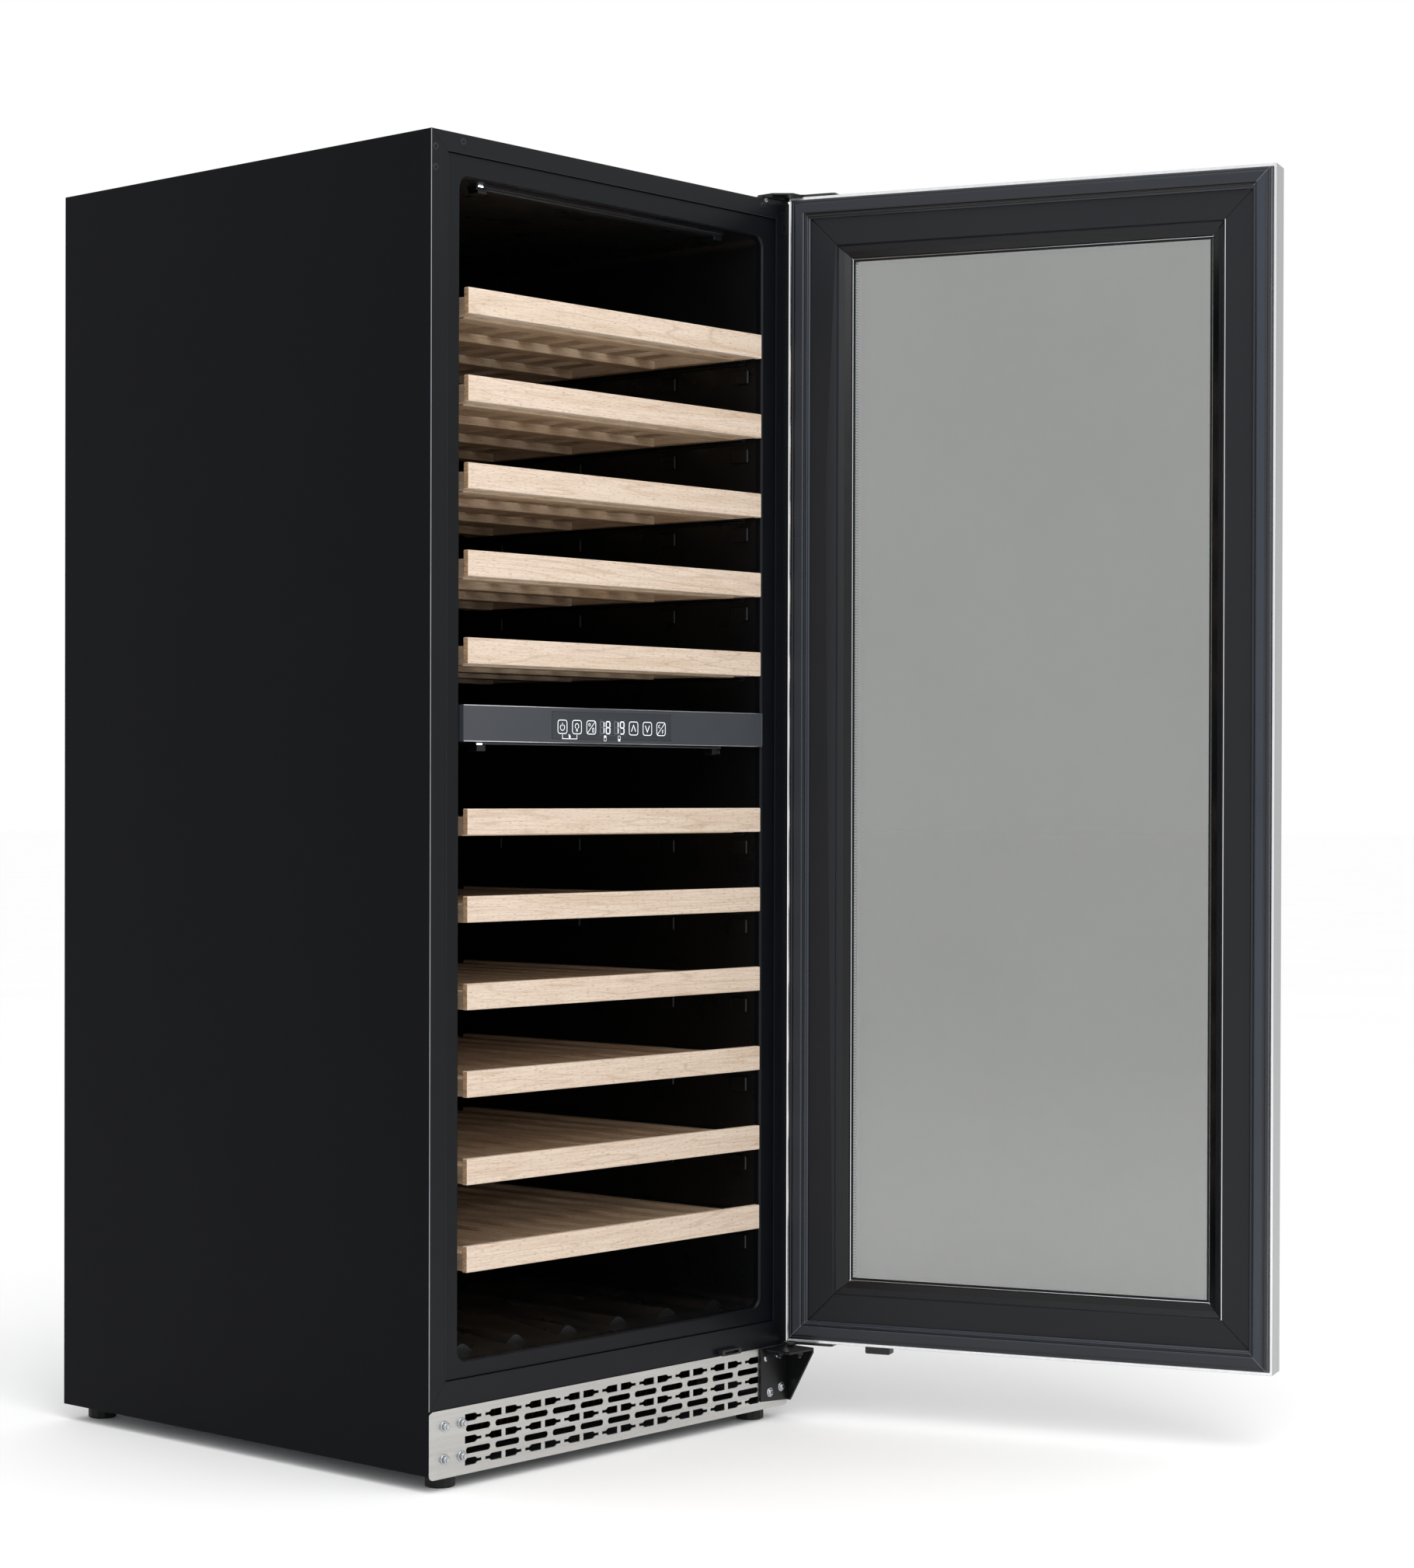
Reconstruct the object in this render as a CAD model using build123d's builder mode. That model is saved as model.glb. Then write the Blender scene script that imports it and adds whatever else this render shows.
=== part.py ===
from build123d import *
import math
import os

os.makedirs("parts", exist_ok=True)

# Free-standing two-zone wine cooler with a glazed door and eleven pull-out beech shelves.
# Millimetres, +X to the right seen from the front, +Y to the back, +Z up.
# The origin is on the floor, in the middle of the four feet. The door stands open.

# ---------------------------------------------------------------- driving dimensions
CAB_W = 595.0            # cabinet width
CAB_D = 635.0            # cabinet depth without the door
FOOT_H = 18.0            # floor to the underside of the cabinet
CAB_H = 1450.0           # cabinet height without the feet
SHEET = 1.0              # outer sheet steel

OPEN_HALF = 251.0        # half width of the cavity
OPEN_Z0 = 137.0          # cavity floor
OPEN_Z1 = 1422.0         # cavity ceiling
LINER_BACK = 575.0       # cavity back wall, behind the front plane
LINER_T = 2.0
LINER_R = 12.0
HUMP_Y = 445.0           # front of the machine hump
HUMP_Z = 205.0           # top of the machine hump
BAY_Z1 = 87.0            # top of the machine space under the floor

FLANGE_IN_X = 273.5      # inner edge of the steel front flange
FLANGE_Z0 = 88.4
FLANGE_IN_Z0 = 117.7
FLANGE_IN_Z1 = 1447.0

KICK_Z0, KICK_Z1 = 14.0, 88.0
KICK_T = 1.5

SHELF_W = 488.3          # front board width
SHELF_H = 28.6           # front board height
SHELF_HOME = -3.0        # front face of a closed shelf, measured from the front plane
SHELF_BACK = 488.0       # back end of the rack
SHELF_OUT = [0.0] * 11   # stored pull-out of each shelf
UPPER_Z = [1303.5 - 95.0 * i for i in range(5)]
LOWER_Z = [737.3 - 95.2 * i for i in range(6)]
SHELF_Z = UPPER_Z + LOWER_Z          # top of each front board

RAIL_IN, RAIL_OUT = 226.0, 238.0     # wooden side rail
RUNNER_OUT = 247.4                   # outer face of the moving runner
FIXED_IN = 243.0                     # inner edge of the fixed channel

PANEL_Z0, PANEL_Z1 = 810.5, 850.5    # control panel

DOOR_W = 595.0
DOOR_Z0, DOOR_Z1 = 92.0, 1473.4
DOOR_GAP = 10.0          # front plane to the inner face of the closed door
DOOR_T = 35.4
DOOR_RIM = 77.0          # width of the opaque border round the glass
PIVOT_X, PIVOT_Y = 293.1, -10.8      # hinge axis, y from the front plane
DOOR_OPEN = 108.6        # stored opening angle
PIN_R = 4.0
PIN_CLEAR = 0.06

FAN_R = 46.0
FAN_Z = (1235.0, 560.0)              # heights of the two circulation fans

# ---------------------------------------------------------------- derived
F = -CAB_D / 2           # the front plane
HW = CAB_W / 2
TOP = FOOT_H + CAB_H
Y_DOOR_IN = -DOOR_GAP
Y_DOOR_OUT = -DOOR_GAP - DOOR_T
MITRE = 0.12             # open line of a mitre joint
HINGE = (
    Location((PIVOT_X, F + PIVOT_Y, 0))
    * Location((0, 0, 0), (0, 0, DOOR_OPEN))
    * Location((-PIVOT_X, -(F + PIVOT_Y), 0))
)


def block(x0, x1, y0, y1, z0, z1, mode=Mode.ADD):
    """A box, y measured from the front plane."""
    with BuildSketch(Plane.XY.offset(z0)) as base:
        with Locations(((x0 + x1) / 2, F + (y0 + y1) / 2)):
            Rectangle(x1 - x0, y1 - y0)
    extrude(base.sketch, amount=z1 - z0, mode=mode)


def upright(x, y, z0, z1, r, mode=Mode.ADD):
    """A vertical cylinder."""
    with BuildSketch(Plane.XY.offset(z0)) as base:
        with Locations((x, F + y)):
            Circle(r)
    extrude(base.sketch, amount=z1 - z0, mode=mode)


def along_y(x, z, y0, y1, r, mode=Mode.ADD):
    """A cylinder that runs front to back."""
    with BuildSketch(Plane.XZ.offset(-(F + y0))) as base:
        with Locations((x, z)):
            Circle(r)
    extrude(base.sketch, amount=-(y1 - y0), mode=mode)


def ring_layer(x0, x1, z0, z1, wl, wr, wt, wb, t0, t1, y0, y1, g=MITRE):
    """Four mitred bars round a rectangle, between the fractions t0 and t1 of its border."""
    a0, a1 = x0 + wl * t0, x0 + wl * t1
    b0, b1 = x1 - wr * t0, x1 - wr * t1
    c0, c1 = z0 + wb * t0, z0 + wb * t1
    d0, d1 = z1 - wt * t0, z1 - wt * t1
    bars = (
        [(a0, c0 + g), (a0, d0 - g), (a1, d1 - g), (a1, c1 + g)],
        [(b0, c0 + g), (b1, c1 + g), (b1, d1 - g), (b0, d0 - g)],
        [(a0 + g, d0), (b0 - g, d0), (b1 - g, d1), (a1 + g, d1)],
        [(a0 + g, c0), (a1 + g, c1), (b1 - g, c1), (b0 - g, c0)],
    )
    with BuildSketch(Plane.XZ.offset(-(F + y0))) as base:
        for pts in bars:
            with BuildLine():
                Polyline(*pts, close=True)
            make_face()
    extrude(base.sketch, amount=-(y1 - y0))


def save(builder, name):
    builder.part.label = name
    export_step(builder.part, f"parts/{name}.step")


def save_hung(closed, name):
    """Turn a piece of the closed door to its stored angle and write it."""
    with BuildPart() as hung:
        with Locations(HINGE):
            add(closed.part)
    hung.part.label = name
    export_step(hung.part, f"parts/{name}.step")


# ================================================================ cabinet
with BuildPart() as side_panel_left:
    block(-HW, -HW + SHEET, 1.3, CAB_D, FOOT_H, TOP)
    block(-HW + SHEET, -HW + 16, CAB_D - SHEET, CAB_D, FOOT_H, TOP - SHEET - 0.1)
save(side_panel_left, "side_panel_left")

with BuildPart() as side_panel_right:
    block(HW - SHEET, HW, 1.3, CAB_D, FOOT_H, TOP)
    block(HW - 16, HW - SHEET, CAB_D - SHEET, CAB_D, FOOT_H, TOP - SHEET - 0.1)
save(side_panel_right, "side_panel_right")

with BuildPart() as top_panel:
    block(-HW + SHEET + 0.1, HW - SHEET - 0.1, 1.3, CAB_D - 0.1, TOP - SHEET, TOP)
    block(-HW + 16.2, HW - 16.2, CAB_D - SHEET, CAB_D - 0.1, TOP - 18, TOP - SHEET)
save(top_panel, "top_panel")

# Rear sheet with a raised field, over the whole insulated part
with BuildPart() as back_panel:
    block(-HW + 16.2, HW - 16.2, CAB_D - SHEET, CAB_D, 180.0, TOP - 18.2)
    for x0, x1 in ((-225, -15), (15, 225)):
        block(x0, x1, CAB_D, CAB_D + 4, 260, 1400)
    with Locations((0, F + CAB_D + 2, 210)):
        Box(120, 4, 36)
    fillet(back_panel.edges().filter_by(Axis.Y).filter_by(lambda e: e.center().Y > F + CAB_D + 1), 12)
save(back_panel, "back_panel")

# Galvanised tray that carries the compressor and the feet
with BuildPart() as base_pan:
    block(-HW + SHEET + 0.1, HW - SHEET - 0.1, 12, CAB_D - 1.2, FOOT_H, FOOT_H + 2)
    for x0, x1 in ((-HW + SHEET + 0.1, -HW + SHEET + 2.1), (HW - SHEET - 2.1, HW - SHEET - 0.1)):
        block(x0, x1, 12, CAB_D - 1.2, FOOT_H + 2, FOOT_H + 14)
    block(-150, 150, 430, 436, FOOT_H + 2, FOOT_H + 7)
    block(-150, 150, 600, 606, FOOT_H + 2, FOOT_H + 7)
    with BuildSketch(Plane.XY.offset(FOOT_H - 0.5)):
        with Locations((-200, F + 300), (200, F + 300)):
            with GridLocations(1, 26, 1, 6):
                SlotOverall(100, 8)
    extrude(amount=3.0, mode=Mode.SUBTRACT)
save(base_pan, "base_pan")

# Polyurethane foam between the liner and the sheets
with BuildPart() as insulation_foam:
    zt = OPEN_Z1 + LINER_T
    xo = OPEN_HALF + LINER_T
    yb = LINER_BACK + LINER_T
    block(-HW + SHEET, -xo - 0.05, 12.2, CAB_D - SHEET - 0.1, BAY_Z1, TOP - SHEET - 0.1)
    block(xo + 0.05, HW - SHEET, 12.2, CAB_D - SHEET - 0.1, BAY_Z1, TOP - SHEET - 0.1)
    block(-xo, xo, 12.2, yb, zt + 0.05, TOP - SHEET - 0.1)
    block(-xo, xo, yb + 0.05, CAB_D - SHEET - 0.1, 206, TOP - SHEET - 0.1)
    block(-xo, xo, 12.2, HUMP_Y - 0.05, BAY_Z1, OPEN_Z0 - LINER_T - 0.05)
    block(-xo, xo, HUMP_Y + LINER_T, CAB_D - 1.2, 176, HUMP_Z - LINER_T - 0.05)
save(insulation_foam, "insulation_foam")

# Moulded cavity: one tub with round corners, the hump over the machine space and
# five low cradles in the floor for a lying row of bottles
with BuildPart() as inner_liner:
    with BuildSketch(Plane.XZ.offset(-(F + 12.0))):
        with Locations((0, (OPEN_Z0 + OPEN_Z1) / 2)):
            RectangleRounded(2 * (OPEN_HALF + LINER_T), OPEN_Z1 - OPEN_Z0 + 2 * LINER_T, LINER_R + LINER_T)
    extrude(amount=-(LINER_BACK + LINER_T - 12.0))
    with BuildSketch(Plane.XZ.offset(-(F + 11.0))):
        with Locations((0, (OPEN_Z0 + OPEN_Z1) / 2)):
            RectangleRounded(2 * OPEN_HALF, OPEN_Z1 - OPEN_Z0, LINER_R)
    extrude(amount=-(LINER_BACK - 11.0), mode=Mode.SUBTRACT)
    block(-OPEN_HALF, OPEN_HALF, HUMP_Y, LINER_BACK, OPEN_Z0, HUMP_Z)
    block(-OPEN_HALF - LINER_T, OPEN_HALF + LINER_T, HUMP_Y + LINER_T, LINER_BACK + LINER_T + 1,
          OPEN_Z0 - LINER_T - 1, HUMP_Z - LINER_T, mode=Mode.SUBTRACT)
    for cx in (-210, -126, -42, 42, 126, 210):
        with BuildSketch(Plane.XZ.offset(-(F + 40.0))):
            with BuildLine():
                Spline((cx - 17, OPEN_Z0 - 0.5), (cx - 8, OPEN_Z0 + 6.5), (cx, OPEN_Z0 + 9.5),
                       (cx + 8, OPEN_Z0 + 6.5), (cx + 17, OPEN_Z0 - 0.5))
                Line((cx + 17, OPEN_Z0 - 0.5), (cx - 17, OPEN_Z0 - 0.5))
            make_face()
        extrude(amount=-330.0)
save(inner_liner, "inner_liner")

# Steel flange round the front, four mitred lengths with a return behind the inner edge
fl = dict(x0=-HW, x1=HW, z0=FLANGE_Z0, z1=TOP, wl=HW - FLANGE_IN_X, wr=HW - FLANGE_IN_X,
          wt=TOP - FLANGE_IN_Z1, wb=FLANGE_IN_Z0 - FLANGE_Z0)
with BuildPart() as front_flange:
    ring_layer(**fl, t0=0.0, t1=1.0, y0=0.0, y1=1.2)
    ring_layer(**fl, t0=0.94, t1=1.0, y0=1.2, y1=11.8)
save(front_flange, "front_flange")

# Plastic frame inside the flange, set back, with a rounded mouth
with BuildPart() as step_frame:
    with BuildSketch(Plane.XZ.offset(-(F + 3.0))):
        with Locations((0, (FLANGE_IN_Z0 + FLANGE_IN_Z1) / 2)):
            Rectangle(2 * FLANGE_IN_X - 0.4, FLANGE_IN_Z1 - FLANGE_IN_Z0 - 0.4)
        with Locations((0, (OPEN_Z0 + OPEN_Z1) / 2)):
            RectangleRounded(2 * OPEN_HALF, OPEN_Z1 - OPEN_Z0, LINER_R, mode=Mode.SUBTRACT)
    extrude(amount=-8.9)
    mouth = step_frame.faces().sort_by(Axis.Y)[0].inner_wires()[0].edges()
    chamfer(mouth, 2.0)
save(step_frame, "step_frame")

# Insulated shelf between the two temperature zones
with BuildPart() as zone_divider:
    block(-OPEN_HALF + 0.2, OPEN_HALF - 0.2, 14.3, 529.8, PANEL_Z0 + 2.5, PANEL_Z1 - 2.5)
    fillet(zone_divider.edges().filter_by(Axis.X), 2.0)
save(zone_divider, "zone_divider")

# Control panel across the cavity, a shell with a recess for the display
with BuildPart() as control_panel:
    block(-249.0, 249.0, -1.0, 14.0, PANEL_Z0, PANEL_Z1)
    fillet(control_panel.edges().filter_by(Axis.X), 1.5)
    block(-247.0, 247.0, 1.6, 14.5, PANEL_Z0 + 2.2, PANEL_Z1 - 2.2, mode=Mode.SUBTRACT)
    block(-112.0, 86.0, -1.5, 0.4, PANEL_Z0 + 4.5, PANEL_Z1 - 4.5, mode=Mode.SUBTRACT)
save(control_panel, "control_panel")

with BuildPart() as control_display:
    block(-111.7, 85.7, -1.2, 0.4, PANEL_Z0 + 4.8, PANEL_Z1 - 4.8)
    fillet(control_display.edges().filter_by(Axis.Y), 1.5)
    block(-105.0, 80.0, 1.6, 3.2, PANEL_Z0 + 6, PANEL_Z1 - 6)
save(control_display, "control_display")

# Light bars: one at the ceiling, one under the zone divider
with BuildPart() as led_strips:
    for z1 in (OPEN_Z1, PANEL_Z0 + 2.4):
        block(-205, 205, 26, 40, z1 - 4.0, z1 - 0.05)
    fillet(led_strips.edges().filter_by(Axis.X).filter_by(
        lambda e: e.center().Z < OPEN_Z1 - 3 and not (PANEL_Z0 < e.center().Z < OPEN_Z1 - 10)), 1.4)
save(led_strips, "led_strips")




# Air duct cover of one zone: a slotted plate with four walls behind it, the fan motor
# and a small sensor pod on its face
def ring_of_slots(cx, cz):
    for r, n in ((16, 6), (28, 10), (40, 14)):
        with Locations((cx, cz)):
            with PolarLocations(r, n):
                SlotOverall(10.0, 4.5, rotation=90, mode=Mode.SUBTRACT)


DUCTS = {"duct_cover_upper": (862.0, 1405.0, FAN_Z[0]), "duct_cover_lower": (222.0, 800.0, FAN_Z[1])}
for duct_name, (dz0, dz1, dfz) in DUCTS.items():
    with BuildPart() as duct:
        with BuildSketch(Plane.XZ.offset(-(F + 530.0))):
            with Locations((0, (dz0 + dz1) / 2)):
                RectangleRounded(400, dz1 - dz0, 14)
            ring_of_slots(0, dfz)
            with Locations((0, dz0 + 40), (0, dz1 - 40)):
                with GridLocations(44, 12, 7, 3):
                    SlotOverall(34, 4.5, mode=Mode.SUBTRACT)
        extrude(amount=-3.0)
        block(-199, -196, 533.1, LINER_BACK, dz0 + 14, dz1 - 14)
        block(196, 199, 533.1, LINER_BACK, dz0 + 14, dz1 - 14)
        block(-195.9, 195.9, 533.1, LINER_BACK, dz0 + 3, dz0 + 6)
        block(-195.9, 195.9, 533.1, LINER_BACK, dz1 - 6, dz1 - 3)
        # fan motor with its shaft, on the back wall
        along_y(0, dfz, 563.0, LINER_BACK, 20.0)
        along_y(0, dfz, 542.5, 563.0, 2.0)
        along_y(150, dz0 + 150, 524.0, 529.9, 7.0)
    save(duct, duct_name)

# Evaporator plates on the back wall, with the tube pressed in as a ridge
with BuildPart() as evaporator_plates:
    for dz0, dz1, dfz in DUCTS.values():
        for pz0, pz1 in ((dz0 + 20, dfz - 62), (dfz + 62, dz1 - 20)):
            block(-180, 180, 570.0, 571.6, pz0, pz1)
            n = int((pz1 - pz0 - 20) // 36)
            for k in range(n):
                block(-165, 165, 566.5, 570.0, pz0 + 14 + 36 * k, pz0 + 20 + 36 * k)
save(evaporator_plates, "evaporator_plates")


# Axial fan: a hub with a shaft hole and seven pitched blades
def fan_wheel(name, x, z, y0, y1, r, bore):
    with BuildPart() as fan:
        along_y(x, z, y0, y1, 15.0)
        fillet(fan.edges().filter_by(GeomType.CIRCLE).sort_by(Axis.Y)[0], 3.0)
        ym = (y0 + y1) / 2
        blade_plane = Plane(origin=(x, F + ym, z), x_dir=(1, 0, 0), z_dir=(0, 0, 1))
        with BuildPart(mode=Mode.PRIVATE) as blade:
            with BuildSketch(Plane(origin=(x, F + ym, z + 12.0), x_dir=(math.cos(math.radians(35)), math.sin(math.radians(35)), 0), z_dir=(0, 0, 1))):
                Rectangle(15.0, 1.6)
            with BuildSketch(Plane(origin=(x, F + ym, z + r), x_dir=(math.cos(math.radians(22)), math.sin(math.radians(22)), 0), z_dir=(0, 0, 1))):
                Rectangle(22.0, 1.4)
            loft(ruled=True)
        for k in range(7):
            add(blade.part.rotate(Axis((x, F + ym, z), (0, 1, 0)), 360.0 * k / 7))
        along_y(x, z, y0 + 3.0, y1 + 1.0, bore, mode=Mode.SUBTRACT)
    save(fan, name)


fan_wheel("circulation_fan_upper", 0.0, FAN_Z[0], 539.0, 558.0, FAN_R, 2.0 + PIN_CLEAR)
fan_wheel("circulation_fan_lower", 0.0, FAN_Z[1], 539.0, 558.0, FAN_R, 2.0 + PIN_CLEAR)

# Hermetic compressor: two drawn half shells, a seam, a terminal box, three stubs and its feet
with BuildPart() as compressor:
    cy = F + 528.0
    with BuildSketch(Plane.XY.offset(38.0)):
        with Locations((90, cy)):
            Ellipse(86, 66)
    extrude(amount=112.0)
    fillet(compressor.edges().group_by(Axis.Z)[-1], 34.0)
    fillet(compressor.edges().group_by(Axis.Z)[0], 16.0)
    with BuildSketch(Plane.XY.offset(92.0)):
        with Locations((90, cy)):
            Ellipse(89, 69)
    extrude(amount=7.0)
    with Locations((2.0, cy, 85)):
        Box(34, 56, 52)
    with BuildSketch(Plane.XY.offset(30.0)):
        with Locations((90, cy)):
            RectangleRounded(190, 110, 12)
            with GridLocations(164, 84, 2, 2):
                Circle(7, mode=Mode.SUBTRACT)
    extrude(amount=9.0)
    for px in (60, 120):
        upright(px, 528.0, 140.0, 168.0, 4.0)
    with BuildSketch(Plane.XY.offset(FOOT_H + 2.05)):
        with Locations((90, cy)):
            with GridLocations(164, 84, 2, 2):
                Circle(11)
    extrude(amount=9.9)
save(compressor, "compressor")

# Copper condenser behind the front grille: a flat serpentine through a block of fins
with BuildPart() as condenser_coil:
    ys = [52.0 + 14.0 * k for k in range(5)]
    pts = []
    with BuildLine() as run:
        side = -1
        start = (-200.0, F + ys[0], 52.0)
        for k, yy in enumerate(ys):
            a = (-200.0, F + yy, 52.0) if k % 2 == 0 else (200.0, F + yy, 52.0)
            b = (200.0, F + yy, 52.0) if k % 2 == 0 else (-200.0, F + yy, 52.0)
            Line(a, b)
            if k < len(ys) - 1:
                sgn = 1 if k % 2 == 0 else -1
                ThreePointArc(b, (b[0] + sgn * 7.0, F + yy + 7.0, 52.0), (b[0], F + ys[k + 1], 52.0))
    with BuildSketch(Plane(origin=(-200.0, F + ys[0], 52.0), z_dir=(1, 0, 0))):
        Circle(3.2)
    sweep(path=run.line)
    for k in range(38):
        block(-185 + 10.0 * k - 0.25, -185 + 10.0 * k + 0.25, 44, 116, 34, 70)
save(condenser_coil, "condenser_coil")

# Fan of the machine space, on a bracket behind the coil
with BuildPart() as condenser_fan_bracket:
    block(-150, -50, 150.0, 153.0, FOOT_H + 2.05, 82.0)
    along_y(-100, 50.0, 149.0, 154.0, 26.5, mode=Mode.SUBTRACT)
    block(-127, -73, 152.0, 154.0, 47.5, 52.5)
    along_y(-100, 50.0, 140.0, 154.0, 8.0)
    along_y(-100, 50.0, 123.5, 140.0, 2.0)
    block(-150, -50, 153.0, 175.0, FOOT_H + 2.05, FOOT_H + 4.0)
save(condenser_fan_bracket, "condenser_fan_bracket")

with BuildPart() as condenser_fan:
    along_y(-100, 50.0, 121.0, 137.0, 9.0)
    for k in range(6):
        a = math.radians(60.0 * k)
        with BuildPart(mode=Mode.PRIVATE) as vane:
            with BuildSketch(Plane(origin=(-100, F + 129.0, 50.0 + 7.0), x_dir=(math.cos(0.6), math.sin(0.6), 0), z_dir=(0, 0, 1))):
                Rectangle(11.0, 1.4)
            with BuildSketch(Plane(origin=(-100, F + 129.0, 50.0 + 24.0), x_dir=(math.cos(0.4), math.sin(0.4), 0), z_dir=(0, 0, 1))):
                Rectangle(15.0, 1.2)
            loft(ruled=True)
        add(vane.part.rotate(Axis((-100, F + 129.0, 50.0), (0, 1, 0)), 60.0 * k))
    along_y(-100, 50.0, 123.0, 138.0, 2.0 + PIN_CLEAR, mode=Mode.SUBTRACT)
save(condenser_fan, "condenser_fan")

# Stainless plinth with rows of bottle shapes and slots
with BuildPart() as kick_plate:
    with BuildSketch(Plane.XZ.offset(-(F - KICK_T))):
        with Locations((0, (KICK_Z0 + KICK_Z1) / 2)):
            RectangleRounded(CAB_W, KICK_Z1 - KICK_Z0, 5.0)
        zc = 51.0
        for row in (-2, 0, 2):
            for k in range(16):
                bx = -232.5 + 31.0 * k
                s = 1 if k % 2 == 0 else -1
                with BuildLine():
                    Polyline((bx - 12.5 * s, zc + 12 * row - 4), (bx + 3.0 * s, zc + 12 * row - 4),
                             (bx + 6.5 * s, zc + 12 * row - 1.6), (bx + 12.5 * s, zc + 12 * row - 1.6),
                             (bx + 12.5 * s, zc + 12 * row + 1.6), (bx + 6.5 * s, zc + 12 * row + 1.6),
                             (bx + 3.0 * s, zc + 12 * row + 4), (bx - 12.5 * s, zc + 12 * row + 4), close=True)
                make_face(mode=Mode.SUBTRACT)
        for row in (-1, 1):
            with Locations(*[(-225.0 + 45.0 * k, zc + 12 * row) for k in range(11)]):
                SlotOverall(37, 7, mode=Mode.SUBTRACT)
    extrude(amount=-KICK_T)
    block(-HW + 6, HW - 6, 0.0, 12.0, KICK_Z0 + 4.2, KICK_Z0 + 5.4)
save(kick_plate, "kick_plate")

# ================================================================ hinges on the cabinet
with BuildPart() as hinge_brackets:
    # lower bracket: front plate, gusset, arm and pin
    with BuildSketch(Plane.XZ.offset(-(F - KICK_T - 3.0))):
        with BuildLine():
            Polyline((246, 18), (HW, 18), (HW, 87.5), (246, 87.5), close=True)
        make_face()
    extrude(amount=-3.0)
    with BuildSketch(Plane.YZ.offset(HW - 3.0)):
        with BuildLine():
            Polyline((F - KICK_T - 3.0, 18), (F - KICK_T - 3.0, 87.5), (F - 44, 87.5), (F - 44, 66), (F - 22, 26), (F - 12, 18), close=True)
        make_face()
    extrude(amount=3.0)
    block(252, HW, -44, -KICK_T - 3.0, 84.0, 87.5)
    upright(PIVOT_X - 0.0, PIVOT_Y, 87.5, 91.6, PIN_R)
    # upper bracket: foot on the top sheet, raised arm, pin and a tab down the front
    block(248, HW - 1.5, 0.2, 62, TOP, TOP + 3)
    block(248, 286, 0.2, 6.0, TOP + 3, TOP + 9)
    with BuildSketch(Plane.XY.offset(TOP + 9)):
        with BuildLine():
            Polyline((248, F + 24), (HW - 1.5, F + 24), (HW + 8, F - 4), (HW + 8, F - 26), (HW - 2, F - 40),
                     (262, F - 40), (248, F - 20), close=True)
        make_face()
    extrude(amount=3.0)
    block(248, 286, 6.0, 24, TOP + 3, TOP + 9)
    upright(PIVOT_X, PIVOT_Y, DOOR_Z1 + 0.4, TOP + 9, PIN_R)
    block(282, 296, -3.0, -0.05, 1430, TOP + 3)
    block(282, 296, -0.05, 0.3, TOP + 0.05, TOP + 3)
save(hinge_brackets, "hinge_brackets")

# Small catch on the lower flange
with BuildPart() as flange_catch:
    block(172, 206, -8.0, -0.05, 88.6, 95.4)
    fillet(flange_catch.edges().filter_by(Axis.Y), 1.6)
    block(177, 201, -8.5, -3.0, 90.4, 93.6, mode=Mode.SUBTRACT)
save(flange_catch, "flange_catch")

# ================================================================ feet
FOOT_X, FOOT_Y = 258.0, 24.0
with BuildPart() as levelling_feet:
    for sx in (-1, 1):
        for fy in (FOOT_Y, CAB_D - FOOT_Y):
            with BuildSketch(Plane.XY):
                with Locations((sx * FOOT_X, F + fy)):
                    RegularPolygon(17.0, 12)
            extrude(amount=13.0)
            upright(sx * FOOT_X, fy, 13.0, FOOT_H, 6.0)
    chamfer(levelling_feet.edges().group_by(Axis.Z)[0], 1.5)
save(levelling_feet, "levelling_feet")

# Screws: three at each top corner of the flange, four in the plinth, four in the lower hinge,
# two in the upper hinge
with BuildPart() as cabinet_screws:
    for sx in (-1, 1):
        for x, z in ((291.0, 1449.0), (291.0, 1426.5), (249.5, 1460.0)):
            if sx > 0 and x > 280:
                continue
            along_y(sx * x, z, -2.2, -0.02, 4.0)
    fillet(cabinet_screws.edges().filter_by(GeomType.CIRCLE).group_by(Axis.Y)[0], 1.2)
    for x in (-276.2, -250.0):
        for z in (34.5, 70.4):
            along_y(x, z, -KICK_T - 1.4, -KICK_T - 0.02, 6.0)
            with BuildSketch(Plane.XZ.offset(-(F - KICK_T - 5.4))):
                with Locations((x, z)):
                    RegularPolygon(4.6, 6)
            extrude(amount=-4.0)
    for x, z in ((254.0, 77.0), (262.0, 34.0), (283.0, 38.0), (276.0, 79.0)):
        along_y(x, z, -KICK_T - 5.2, -KICK_T - 3.02, 4.2)
    for z in (1438.0, 1459.0):
        along_y(289.0, z, -5.0, -3.02, 3.6)
save(cabinet_screws, "cabinet_screws")

# Mains inlet on the back, without a lead
with BuildPart() as power_inlet:
    block(-232, -184, CAB_D - 10, CAB_D + 3, 130, 162)
    fillet(power_inlet.edges().filter_by(Axis.Y), 3.0)
    block(-224, -192, CAB_D - 6, CAB_D + 4, 136, 156, mode=Mode.SUBTRACT)
    for px in (-216, -208, -200):
        block(px - 1, px + 1, CAB_D - 6, CAB_D + 1, 142, 150)
    block(-250.0, -184, CAB_D - 12, CAB_D - 10, 126, 175.9)
save(power_inlet, "power_inlet")

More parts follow.
